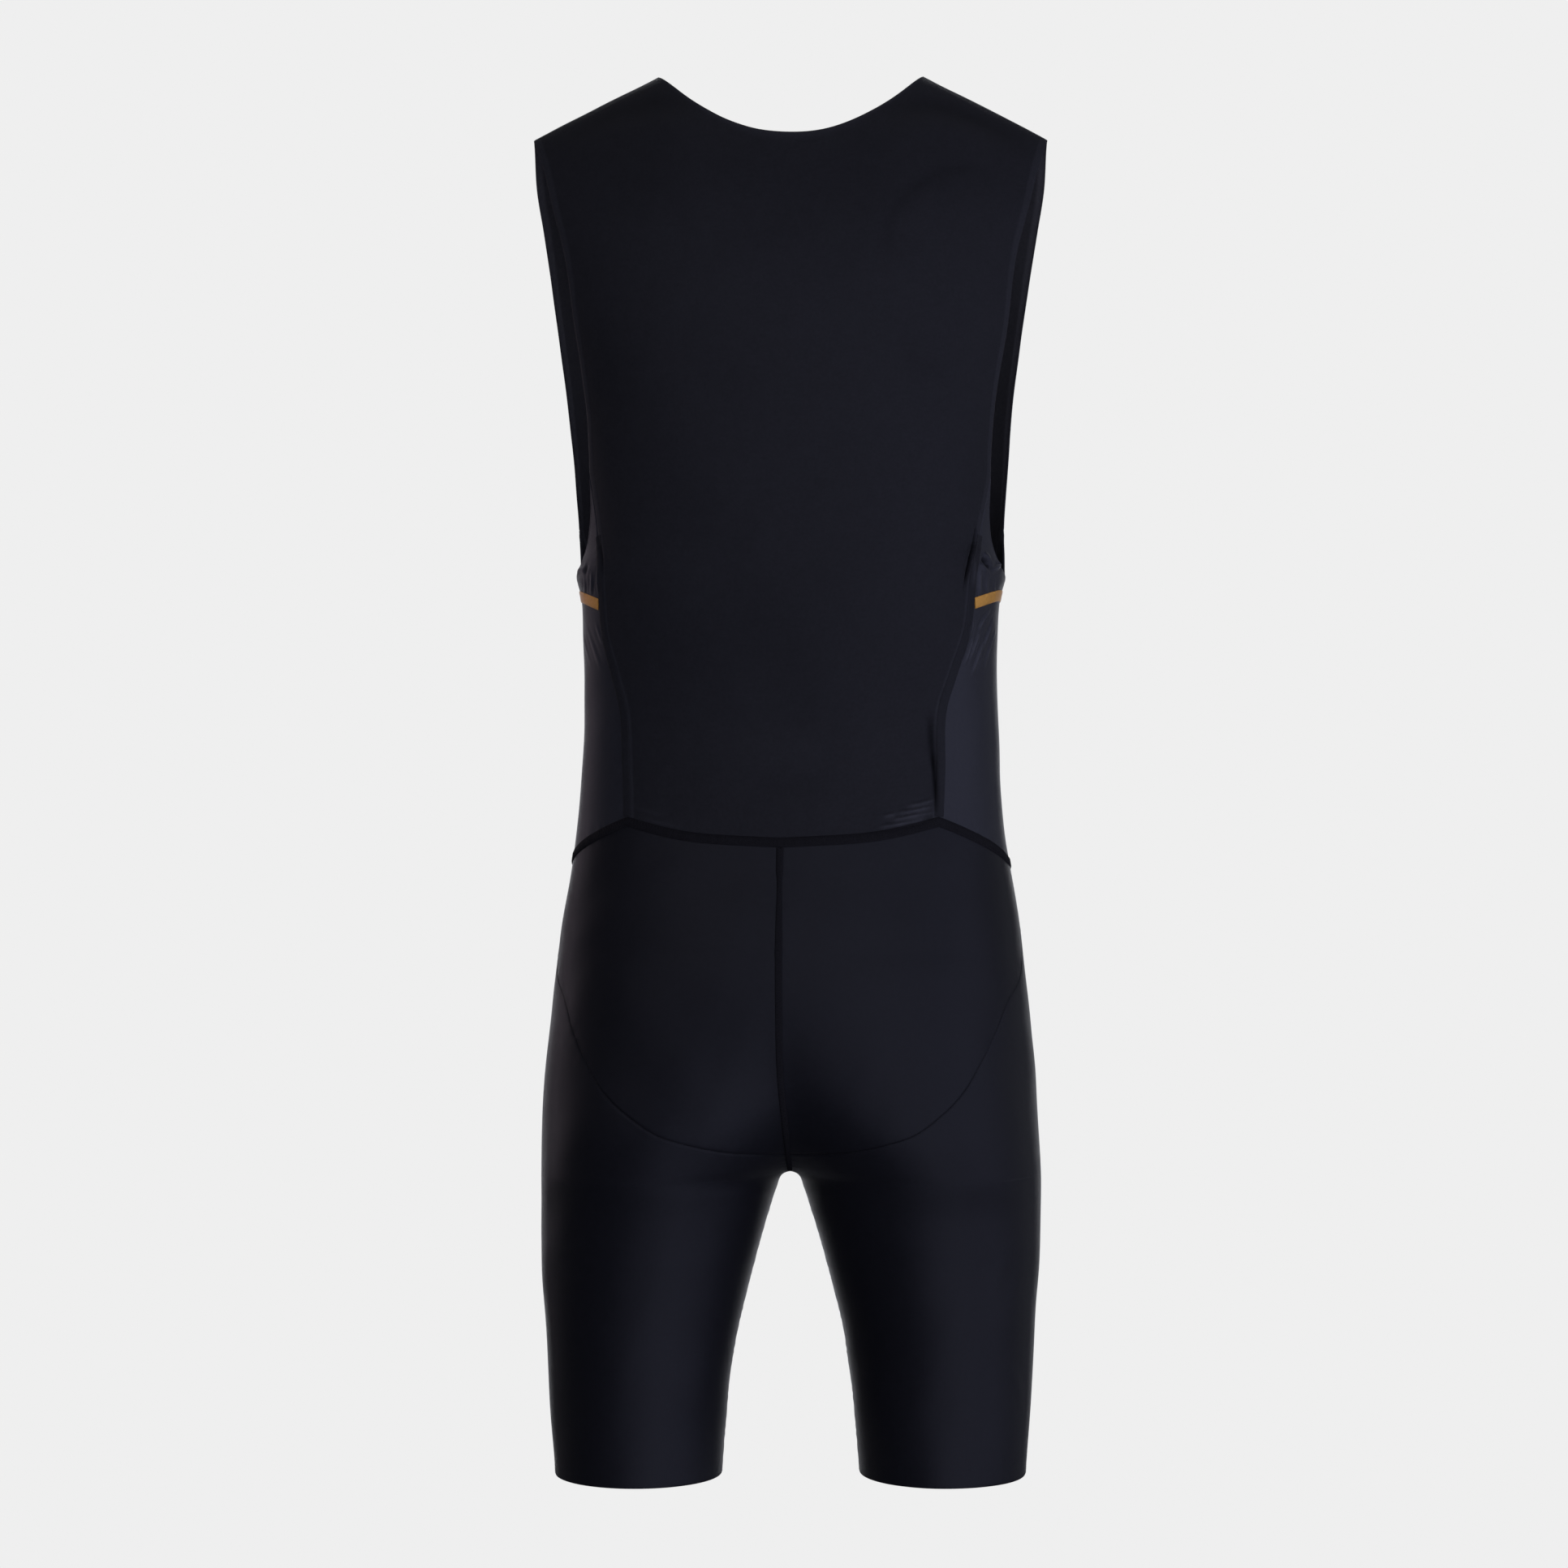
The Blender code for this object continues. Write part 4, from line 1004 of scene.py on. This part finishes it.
def shader_group(name, build, inputs, outputs):
    """A shader node group with named sockets, built the first time that it is asked for."""
    group = bpy.data.node_groups.get(name)
    if group:
        return group
    group = bpy.data.node_groups.new(name, "ShaderNodeTree")
    group.interface.new_socket(name="Vector", in_out="INPUT", socket_type="NodeSocketVector")
    for label, value in inputs.items():
        socket = group.interface.new_socket(name=label, in_out="INPUT", socket_type="NodeSocketFloat")
        socket.default_value = value
    for label in outputs:
        group.interface.new_socket(name=label, in_out="OUTPUT", socket_type="NodeSocketFloat")
    start, end = group.nodes.new("NodeGroupInput"), group.nodes.new("NodeGroupOutput")
    for label, value in build(group, start.outputs).items():
        group.links.new(value, end.inputs[label])
    return group


def node(tree, kind, inputs=None, **settings):
    """A node with its settings, and its inputs set or linked by name or number."""
    made = tree.nodes.new(kind)
    for key, value in settings.items():
        setattr(made, key, value)
    for key, value in (inputs or {}).items():
        if isinstance(value, bpy.types.NodeSocket):
            tree.links.new(value, made.inputs[key])
        else:
            made.inputs[key].default_value = value
    return made


def maths(tree, operation, *values):
    return node(tree, "ShaderNodeMath", dict(enumerate(values)), operation=operation).outputs[0]


def times(tree, *values):
    return maths(tree, "MULTIPLY", *values)


def noise(tree, vector, scale, detail, **more):
    """How light a noise texture is at each place."""
    inputs = {"Vector": vector, "Scale": scale, "Detail": detail, **more}
    return node(tree, "ShaderNodeTexNoise", inputs).outputs["Fac"]


def build_knit(group, given):
    """Fine warp knit: wales with slanted stitches, from a UV map in metres."""
    parts = node(group, "ShaderNodeSeparateXYZ", {0: given["Vector"]})
    wale = times(group, parts.outputs[0], given["Wales per m"])
    course = times(group, parts.outputs[1], given["Courses per m"])
    within = maths(group, "ABSOLUTE", maths(group, "SUBTRACT", maths(group, "FRACT", wale), 0.5))
    slanted = maths(group, "ADD", course, times(group, within, STITCH_SLANT))
    stitch = maths(group, "SINE", times(group, slanted, 2 * math.pi))
    bulge = maths(group, "SUBTRACT", 1.0, times(group, times(group, within, within), WALE_BULGE))
    loop = maths(group, "ADD", 1 - LOOP_DEPTH, times(group, stitch, LOOP_DEPTH))
    return {
        "Height": times(group, bulge, loop),
        "Tone": noise(group, given["Vector"], 420.0, 3.0, Roughness=0.6),
    }


def knit_group():
    inputs = {"Wales per m": 2200.0, "Courses per m": 2600.0}
    return shader_group("Fine knit", build_knit, inputs, ("Height", "Tone"))


def build_mottle(group, given):
    """Slow changes of tone and gloss over the cloth, from object coordinates."""
    broad = times(group, noise(group, given["Vector"], 9.0, 2.0), 0.6)
    small = times(group, noise(group, given["Vector"], 130.0, 3.0), 0.4)
    centred = times(group, maths(group, "SUBTRACT", maths(group, "ADD", broad, small), 0.5), 2.0)
    return {"Factor": maths(group, "ADD", 1.0, times(group, centred, given["Amount"]))}


def mottle_group():
    return shader_group("Cloth mottle", build_mottle, {"Amount": 0.2}, ("Factor",))


SPECULAR_TINT = (0.84, 0.85, 1.0)
SHEEN_ROUGHNESS = 0.35
COURSES_PER_WALE = 1.2
YARN_TONE = 0.4
LEAST_LIGHT = 0.12
KNIT_DEPTH = 0.12 * MM
STITCH_SLANT = 1.2
WALE_BULGE = 3.6
LOOP_DEPTH = 0.3


def cloth_material(name, colour, roughness, specular, sheen=0.0, mottle=0.25, wales=2200.0, bump=0.25,
                   hem_tone=0.0, metallic=0.0, painted_fold_light_strength=0.0):
    """Stretch cloth: fine knit, soft sheen and slow changes of tone, with painted highlights on sharp
    ridges and painted shade in sharp slots where a fold strength is given. It is made once.
    """
    material = bpy.data.materials.get(name)
    if material:
        return material
    material = bpy.data.materials.new(name)
    material.use_nodes = True
    tree = material.node_tree
    shader = tree.nodes["Principled BSDF"]
    for socket, value in (
        ("Specular IOR Level", specular), ("Specular Tint", (*SPECULAR_TINT, 1.0)), ("Sheen Weight", sheen),
        ("Sheen Roughness", SHEEN_ROUGHNESS), ("Metallic", metallic),
    ):
        shader.inputs[socket].default_value = value
    place, uv = node(tree, "ShaderNodeTexCoord"), node(tree, "ShaderNodeUVMap", uv_map="cloth")
    knit = node(tree, "ShaderNodeGroup", node_tree=knit_group())
    tree.links.new(uv.outputs["UV"], knit.inputs["Vector"])
    knit.inputs["Wales per m"].default_value = wales
    knit.inputs["Courses per m"].default_value = wales * COURSES_PER_WALE
    tone = node(tree, "ShaderNodeGroup", node_tree=mottle_group())
    tree.links.new(place.outputs["Object"], tone.inputs["Vector"])
    tone.inputs["Amount"].default_value = mottle
    yarn = maths(tree, "ADD", 1 - YARN_TONE / 2, times(tree, knit.outputs["Tone"], YARN_TONE))
    shade = times(tree, tone.outputs["Factor"], yarn)
    if hem_tone:
        hem = node(tree, "ShaderNodeAttribute", attribute_name="hem")
        shade = times(tree, shade, maths(tree, "MULTIPLY_ADD", hem.outputs["Fac"], hem_tone, 1.0))
    # Painted light and shade: base colour and specular level are raised on sharp ridges and lowered in
    # sharp slots
    if painted_fold_light_strength:
        painted_fold_light = node(tree, "ShaderNodeAttribute", attribute_name="painted_fold_light")
        lit = maths(tree, "MULTIPLY_ADD", painted_fold_light.outputs["Fac"], painted_fold_light_strength, 1.0)
        lit = maths(tree, "MAXIMUM", lit, LEAST_LIGHT)
        shade = times(tree, shade, lit)
        tree.links.new(times(tree, lit, specular), shader.inputs["Specular IOR Level"])
    tinted = node(tree, "ShaderNodeVectorMath", {0: tuple(colour), "Scale": shade}, operation="SCALE")
    tree.links.new(tinted.outputs[0], shader.inputs["Base Color"])
    rough = times(tree, tone.outputs["Factor"], roughness)
    tree.links.new(maths(tree, "MINIMUM", rough, 1.0), shader.inputs["Roughness"])
    relief = {"Strength": bump, "Distance": KNIT_DEPTH, "Height": knit.outputs["Height"]}
    tree.links.new(node(tree, "ShaderNodeBump", relief).outputs["Normal"], shader.inputs["Normal"])
    return material


SIDE_CAST = (1.08, 1.1, 1.2)


def body_cloth(looks):
    return cloth_material(
        "body_knit", looks.cloth_colour, roughness=0.48, specular=0.045, sheen=0.02, hem_tone=0.4,
        painted_fold_light_strength=1.2,
    )


def side_cloth(looks):
    colour = [value * lift for value, lift in zip(looks.cloth_colour, SIDE_CAST)]
    return cloth_material("side_knit", colour, roughness=0.42, specular=0.19, sheen=0.03, painted_fold_light_strength=0.8)


def seat_cloth(looks):
    return cloth_material("seat_knit", looks.leg_colour, roughness=0.41, specular=0.14, sheen=0.03)


def leg_cloth(looks):
    return cloth_material("leg_knit", looks.leg_colour, roughness=0.42, specular=0.145, sheen=0.05)


def tape_material(looks):
    return cloth_material(
        "tape_weave", looks.tape_colour, roughness=0.75, specular=0.06, wales=1400.0, bump=0.5
    )


def side_tape_material(looks):
    return cloth_material(
        "side_tape_weave", looks.cloth_colour, roughness=0.48, specular=0.045, sheen=0.02, bump=0.2,
        painted_fold_light_strength=1.2,
    )


# The cloth's inner face: its own colour, made lighter with painted light that the lamps don't bring through
# the armholes
def reverse_cloth_painted_lighter(looks):
    return cloth_material("cloth_reverse_painted_lighter", looks.reverse_colour_painted_lighter, roughness=0.8, specular=0.08, hem_tone=0.6)


def thread_material(looks):
    return cloth_material("sewing_thread", looks.tape_colour, roughness=0.6, specular=0.1, wales=3000.0)


def flat_thread_material(looks):
    return cloth_material(
        "flat_seam_thread", looks.leg_colour, roughness=0.45, specular=0.13, sheen=0.02, wales=3000.0
    )


def band_material(looks):
    return cloth_material(
        "band_weave", looks.band_colour, roughness=0.42, specular=0.3, mottle=0.12, wales=1500.0, bump=0.5,
        metallic=0.5,
    )


# Settings

A_LENGTH = {"min": 1 * MM, "unit": "LENGTH"}
A_STRENGTH = {"default": 1.0, "min": 0.0, "subtype": "FACTOR"}
A_COLOUR = {"size": 3, "min": 0.0, "max": 1.0, "subtype": "COLOR"}


class BodysuitSizes(bpy.types.PropertyGroup):
    """Sizes of the cloth and its sewing."""

    cloth_wall: bpy.props.FloatProperty(
        name="Cloth thickness", description="Thickness of a panel", default=1.0 * MM, min=0.3 * MM,
        unit="LENGTH",
    )
    tape_half_width: bpy.props.FloatProperty(
        name="Tape half width", description="Half the width of the seam tape", default=3.4 * MM, **A_LENGTH
    )
    crease_scale: bpy.props.FloatProperty(
        name="Creases", description="How strongly the creases stand out", **A_STRENGTH
    )
    pucker_scale: bpy.props.FloatProperty(
        name="Puckers", description="How strongly the cloth puckers beside seams", **A_STRENGTH
    )
    grid_step: bpy.props.FloatProperty(
        name="Grid step", description="Size of the faces of a panel", default=2.8 * MM, **A_LENGTH
    )
    stitch_pitch: bpy.props.FloatProperty(
        name="Stitch pitch", description="Distance from stitch to stitch", default=2.4 * MM, **A_LENGTH
    )


class BodysuitColours(bpy.types.PropertyGroup):
    """Colours of the cloth, tape and band."""

    cloth_colour: bpy.props.FloatVectorProperty(
        name="Cloth", description="Colour of the upper cloth", default=(0.0146, 0.0146, 0.0186), **A_COLOUR
    )
    leg_colour: bpy.props.FloatVectorProperty(
        name="Legs", description="Colour of the leg cloth", default=(0.0062, 0.0062, 0.0090), **A_COLOUR
    )
    # The inner face's own colour, lightened with painted light where the lamps don't reach it
    reverse_colour_painted_lighter: bpy.props.FloatVectorProperty(
        name="Reverse", description="Colour of the cloth's inner face", default=(0.037, 0.036, 0.042),
        **A_COLOUR,
    )
    tape_colour: bpy.props.FloatVectorProperty(
        name="Tape", description="Colour of the seam tape", default=(0.0082, 0.0078, 0.0100), **A_COLOUR
    )
    band_colour: bpy.props.FloatVectorProperty(
        name="Band", description="Colour of the armhole bands", default=(0.62, 0.31, 0.065), **A_COLOUR
    )
    backdrop_colour: bpy.props.FloatVectorProperty(
        name="Backdrop", description="Colour of floor and backdrop", default=(0.863, 0.863, 0.863),
        **A_COLOUR,
    )


def settings(context):
    """The sizes, the relief, which is made once for each of its settings, and the colours."""
    sizes = context.scene.bodysuit_sizes
    key = (round(sizes.crease_scale, 4), round(sizes.pucker_scale, 4))
    if key not in RELIEFS:
        RELIEFS[key] = Relief(*key)
    return sizes, RELIEFS[key], context.scene.bodysuit_colours


RELIEFS = {}


def dress(piece, nodes):
    """Ties a piece to the frame."""
    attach(piece, "root")
    if nodes:
        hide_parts(*nodes)
    return piece


def declare_sheets():
    """Runs through the cut of each panel and the narrow pieces on it, but states nothing and keeps nothing.
    """
    for name, width, length, area, sewn_on in CUTS:
        [f"{narrow}_cloth" for narrow in sewn_on]


# Operators

class BODYSUIT_OT_body_panels(bpy.types.Operator):
    """Adds the back panel and the front panel"""

    bl_idname = "bodysuit.body_panels"
    bl_label = "Back and front panels"

    def execute(self, context):
        sizes, relief, looks = settings(context)
        for face, low_step in LOW_ROW_STEP.items():
            places = upper_places(face, sizes.grid_step, low_step)
            if face == "front":
                places = places[:, ::-1]
            halves = [half_spots(places, 1), [part[:, ::-1] for part in half_spots(places, -1)]]
            if face == "back":
                halves = halves[::-1]
            spots = [np.concatenate([start[:, :-1], end], axis=1) for start, end in zip(*halves)]
            panel = cloth_panel(
                f"{face}_panel_cloth", spots, relief, sizes.cloth_wall,
                [body_cloth(looks), reverse_cloth_painted_lighter(looks)], ("bottom",), ("left", "right", "top"),
            )
            dress(panel, [f"{face}_panel"])
        return {"FINISHED"}


def add_pair(context, name, places, cloth, sewn, free=()):
    """The same panel on the right and the left, with the creases of each side."""
    sizes, relief, looks = settings(context)
    swap = {"left": "right", "right": "left"}
    for side, word in SIDES.items():
        spots, edges = half_spots(places, side), sewn
        if side < 0:
            spots = [part[:, ::-1] for part in spots]
            edges = [swap.get(edge, edge) for edge in sewn]
        panel = cloth_panel(
            f"{name}_{word}_cloth", spots, relief, sizes.cloth_wall, [cloth(looks), reverse_cloth_painted_lighter(looks)],
            edges, free,
        )
        dress(panel, [f"{name}_{word}"])


class BODYSUIT_OT_side_panels(bpy.types.Operator):
    """Adds the two side panels"""

    bl_idname = "bodysuit.side_panels"
    bl_label = "Side panels"

    def execute(self, context):
        step = context.scene.bodysuit_sizes.grid_step
        sewn = ("bottom", "left", "right")
        places = side_places(SIDE_COLUMN_FINENESS * step, SIDE_ROW_FINENESS * step)
        add_pair(context, "side_panel", places, side_cloth, sewn, ("top",))
        return {"FINISHED"}


class BODYSUIT_OT_seat_panels(bpy.types.Operator):
    """Adds the two seat panels"""

    bl_idname = "bodysuit.seat_panels"
    bl_label = "Seat panels"

    def execute(self, context):
        places = seat_places(context.scene.bodysuit_sizes.grid_step)
        add_pair(context, "seat_panel", places, seat_cloth, ("bottom", "top", "left", "right"))
        return {"FINISHED"}


class BODYSUIT_OT_leg_panels(bpy.types.Operator):
    """Adds the two leg panels"""

    bl_idname = "bodysuit.leg_panels"
    bl_label = "Leg panels"

    def execute(self, context):
        places = leg_places(LEG_COARSENESS * context.scene.bodysuit_sizes.grid_step)
        sewn = ("top", "left", "right")
        add_pair(context, "leg_panel", places, leg_cloth, sewn, ("bottom",))
        return {"FINISHED"}


def tape_lines(half_width):
    """Each tape's node, its places, and whether it closes on itself."""
    waist = waist_line(-1, 1)(np.linspace(0, 1, WAIST_TAPE_POINTS + 1)[:-1])
    top = float(waist_z(0.0)) - half_width - TAPE_CLEARANCE
    bottom = SEAT_SEAM_BACK[0][1] * MM - CENTRE_TAPE_PAST_SEAT
    centre = places_of(0.0, np.linspace(bottom, top, CENTRE_TAPE_POINTS))
    seam, seam_start = side_seam("back"), float(waist_z(BACK_CORNER))
    low = (half_width + TAPE_CLEARANCE) / line_length(seam)
    high = (SIDE_TAPE_TOP_Z - seam_start) / (SIDE_SEAM["back"][0][1] * MM - seam_start)
    side = arc_steps(seam, 0, 1, np.linspace(low, high, SIDE_TAPE_POINTS))
    return (
        ("waist_tape", waist, True), ("centre_back_tape", centre, False),
        ("side_seam_tape_right", side, False), ("side_seam_tape_left", side * (-1, 1), False),
    )


class BODYSUIT_OT_tapes(bpy.types.Operator):
    """Adds the seam tapes with their cover stitches"""

    bl_idname = "bodysuit.tapes"
    bl_label = "Seam tapes"

    def execute(self, context):
        sizes, relief, looks = settings(context)
        half_width = sizes.tape_half_width
        stitch = (COVER_STITCH_SHARE * half_width, COVER_STITCH_RADIUS, COVER_STITCH_LIFT)
        threads = []
        for name, places, closed in tape_lines(half_width):
            beside = "side" in name
            lifts, cloth = (SIDE_TAPE_LIFTS, side_tape_material) if beside else (TAPE_LIFTS, tape_material)
            tape = strip(f"{name}_cloth", places, half_width, lifts, relief, cloth(looks), closed)
            dress(tape, [name])
            if not beside:
                threads.append(zigzag_thread(
                    f"{name}_stitch", places, sizes.stitch_pitch, stitch, relief, thread_material(looks)
                ))
        dress(joined("tape_stitching", threads), [])
        return {"FINISHED"}


class BODYSUIT_OT_bands(bpy.types.Operator):
    """Adds the bright bands below the armholes"""

    bl_idname = "bodysuit.bands"
    bl_label = "Side bands"

    def execute(self, context):
        sizes, relief, looks = settings(context)
        line = band_line((BAND_BOTTOM_Z + BAND_TOP_Z) / 2)
        length = line_length(line)
        start = (sizes.tape_half_width + TAPE_CLEARANCE) / length
        places = arc_steps(line, 0, 1, np.linspace(start, 1 - BAND_CLEARANCE / length, BAND_POINTS))
        half_width = (BAND_TOP_Z - BAND_BOTTOM_Z) / 2
        for side, word in SIDES.items():
            band = strip(
                f"side_band_{word}_cloth", places * (side, 1), half_width, BAND_LIFTS, relief,
                band_material(looks),
            )
            dress(band, [f"side_band_{word}"])
        return {"FINISHED"}


class BODYSUIT_OT_sewing(bpy.types.Operator):
    """Adds the flat stitches over the seams that have no tape"""

    bl_idname = "bodysuit.sewing"
    bl_label = "Flat seams"

    def execute(self, context):
        sizes, relief, looks = settings(context)
        spots = np.linspace(0, 1, UPRIGHT_SEAM_POINTS)
        inseam = upright_line(0.0, HEM_Z + 1 * MM, CROTCH_Z - FLAT_SEAM_END)(spots)
        front = upright_line(1.0, CROTCH_Z + FLAT_SEAM_END, FRONT_WAIST_Z - FLAT_SEAM_END)(spots)
        seams = []
        for side, word in SIDES.items():
            for name, line in (("seat", seat_seam), ("front_side", side_seam("front"))):
                places = arc_steps(line, 0, 1, np.linspace(0.004, 0.996, CURVED_SEAM_POINTS))
                seams.append((f"{name}_{word}", places * (side, 1), 0))
            seams.append((f"inseam_{word}", inseam, side))
        seams.append(("centre_front", front, 0))
        thread, pitch = flat_thread_material(looks), sizes.stitch_pitch
        made = [
            zigzag_thread(name, places, pitch, FLAT_STITCH, relief, thread, leg)
            for name, places, leg in seams
        ]
        dress(joined("flat_seam_stitching", made), [])
        return {"FINISHED"}


# Lights as soft boxes round the suit: azimuth in degrees to the right of the camera, distance and
# height in metres, width and height in metres, brightness of the face, and colour
LIGHT_COLUMNS = ("name", "azimuth", "distance", "height", "size", "brightness", "colour")
LIGHTS = (
    ("key_side", 64, 2.5, -0.6, (2.2, 3.0), 1.3, (0.77, 0.8, 1.0)),
    ("key_front", 12, 3.0, -0.85, (2.4, 3.4), 1.2, (0.82, 0.85, 1.0)),
    ("key_low", 28, 1.9, -2.4, (2.0, 1.4), 1.0, (0.8, 0.83, 1.0)),
    ("fill_high", -34, 2.6, 0.6, (1.7, 1.1), 1.5, (0.94, 0.93, 1.0)),
    ("high_front", 14, 2.2, 0.6, (1.8, 0.9), 1.1, (0.86, 0.88, 1.0)),
    ("behind", 180, 2.6, -0.1, (2.6, 3.0), 1.25, (0.94, 0.95, 1.0)),
    ("rim_left", -128, 2.2, 0.0, (1.1, 2.2), 0.62, (1.0, 0.82, 0.94)),
    ("rim_right", 120, 2.2, -0.4, (1.0, 2.6), 0.26, (0.88, 0.9, 1.0)),
    ("top_soft", 180, 0.2, 1.9, (1.4, 1.0), 0.8, (1.0, 1.0, 1.0)),
)
AIM = (0.0, 0.0, -0.5)
CAMERA_DISTANCE = 2.6
CAMERA_TARGET = (-4.6 * MM, 0.0, -500.9 * MM)
CAMERA_FOCAL_PIXELS = 4518.6
IMAGE_WIDTH = 1932
SENSOR_WIDTH = 36.0
FLOOR_Z = -1.45
FLOOR_SIZE = 14.0
ROOM_COLOUR = (0.9, 0.93, 1.0, 1.0)
ROOM_GLOW = {"From Min": -0.35, "From Max": 0.35, "To Min": 0.045, "To Max": 0.09}


def add_aimed(name, data, place, target):
    """A light or the camera at a place, looking at a target."""
    thing = bpy.data.objects.new(name, data)
    thing.location = place
    thing.rotation_euler = (Vector(target) - Vector(place)).to_track_quat("-Z", "Y").to_euler()
    bpy.context.scene.collection.objects.link(thing)
    return thing


def add_light(light):
    """A soft box that the camera doesn't see."""
    data = bpy.data.lights.new(light["name"], "AREA")
    data.shape = "RECTANGLE"
    data.size, data.size_y = light["size"]
    data.energy = light["brightness"] * math.pi * data.size * data.size_y
    data.color = light["colour"]
    azimuth, distance = math.radians(light["azimuth"]), light["distance"]
    place = (distance * math.sin(azimuth), -distance * math.cos(azimuth), light["height"])
    add_aimed(light["name"], data, place, AIM).visible_camera = False


def add_camera(scene):
    """The camera, straight behind the suit as in the photo."""
    data = bpy.data.cameras.new("camera")
    data.sensor_width = SENSOR_WIDTH
    data.lens = CAMERA_FOCAL_PIXELS / IMAGE_WIDTH * SENSOR_WIDTH
    x, y, z = CAMERA_TARGET
    scene.camera = add_aimed("camera", data, (x, y - CAMERA_DISTANCE, z), CAMERA_TARGET)


def add_world(scene, colour):
    """The backdrop's colour for the camera, and for the cloth a dim room that is lighter higher up."""
    world = bpy.data.worlds.new("studio")
    scene.world = world
    world.use_nodes = True
    tree = world.node_tree
    backdrop = tree.nodes["Background"]
    backdrop.inputs["Color"].default_value = (*colour, 1.0)
    place = node(tree, "ShaderNodeTexCoord")
    direction = node(tree, "ShaderNodeSeparateXYZ", {0: place.outputs["Generated"]})
    glow = node(tree, "ShaderNodeMapRange", {"Value": direction.outputs[2], **ROOM_GLOW})
    room = node(tree, "ShaderNodeBackground", {"Color": ROOM_COLOUR, "Strength": glow.outputs[0]})
    ray = node(tree, "ShaderNodeLightPath")
    inputs = {0: ray.outputs["Is Camera Ray"], 1: room.outputs[0], 2: backdrop.outputs[0]}
    mix = node(tree, "ShaderNodeMixShader", inputs)
    tree.links.new(mix.outputs[0], tree.nodes["World Output"].inputs["Surface"])


class BODYSUIT_OT_stage(bpy.types.Operator):
    """Adds the floor, the soft studio lights and the camera"""

    bl_idname = "bodysuit.stage"
    bl_label = "Stage, lights and camera"

    def execute(self, context):
        scene, looks = context.scene, context.scene.bodysuit_colours
        bpy.ops.object.select_all(action="DESELECT")
        bpy.ops.mesh.primitive_plane_add(size=FLOOR_SIZE, location=(0, 0, FLOOR_Z))
        floor = context.object
        floor.name = "floor"
        bpy.ops.object.transform_apply(location=True, rotation=True, scale=True)
        floor.data.materials.append(floor_material(looks.backdrop_colour))
        floor.visible_diffuse = floor.visible_glossy = floor.visible_shadow = False
        for row in LIGHTS:
            add_light(dict(zip(LIGHT_COLUMNS, row)))
        add_world(scene, looks.backdrop_colour)
        add_camera(scene)
        scene.view_settings.view_transform = "Standard"
        scene.view_settings.look = "None"
        return {"FINISHED"}


def floor_material(colour):
    """A plain pale floor that shows as the backdrop's own tone."""
    material = bpy.data.materials.new("pale_floor")
    material.use_nodes = True
    shader = material.node_tree.nodes["Principled BSDF"]
    for socket, value in (
        ("Base Color", (0.0, 0.0, 0.0, 1.0)), ("Specular IOR Level", 0.0), ("Roughness", 1.0),
        ("Emission Color", (*colour, 1.0)), ("Emission Strength", 1.0),
    ):
        shader.inputs[socket].default_value = value
    return material


class BODYSUIT_PT_panel(bpy.types.Panel):
    """Sizes, colours and pieces of the bodysuit"""

    bl_idname = "BODYSUIT_PT_panel"
    bl_label = "Athletics bodysuit"
    bl_space_type = "VIEW_3D"
    bl_region_type = "UI"
    bl_category = "Bodysuit"

    def draw(self, context):
        layout = self.layout
        for group in (context.scene.bodysuit_sizes, context.scene.bodysuit_colours):
            for name in group.__annotations__:
                layout.prop(group, name)
        for operator in OPERATORS:
            layout.operator(operator.bl_idname)


OPERATORS = (
    BODYSUIT_OT_body_panels,
    BODYSUIT_OT_side_panels,
    BODYSUIT_OT_seat_panels,
    BODYSUIT_OT_leg_panels,
    BODYSUIT_OT_tapes,
    BODYSUIT_OT_bands,
    BODYSUIT_OT_sewing,
    BODYSUIT_OT_stage,
)
CLASSES = (BodysuitSizes, BodysuitColours, *OPERATORS, BODYSUIT_PT_panel)


def register():
    for cls in CLASSES:
        bpy.utils.register_class(cls)
    bpy.types.Scene.bodysuit_sizes = bpy.props.PointerProperty(type=BodysuitSizes)
    bpy.types.Scene.bodysuit_colours = bpy.props.PointerProperty(type=BodysuitColours)


def unregister():
    del bpy.types.Scene.bodysuit_sizes
    del bpy.types.Scene.bodysuit_colours
    for cls in reversed(CLASSES):
        bpy.utils.unregister_class(cls)


def main():
    register()
    bpy.ops.object.select_all(action="DESELECT")
    bpy.ops.bodysuit.body_panels()
    bpy.ops.bodysuit.side_panels()
    bpy.ops.bodysuit.seat_panels()
    bpy.ops.bodysuit.leg_panels()
    bpy.ops.bodysuit.tapes()
    bpy.ops.bodysuit.bands()
    bpy.ops.bodysuit.sewing()
    bpy.ops.bodysuit.stage()
    declare_sheets()


if __name__ == "__main__":
    main()
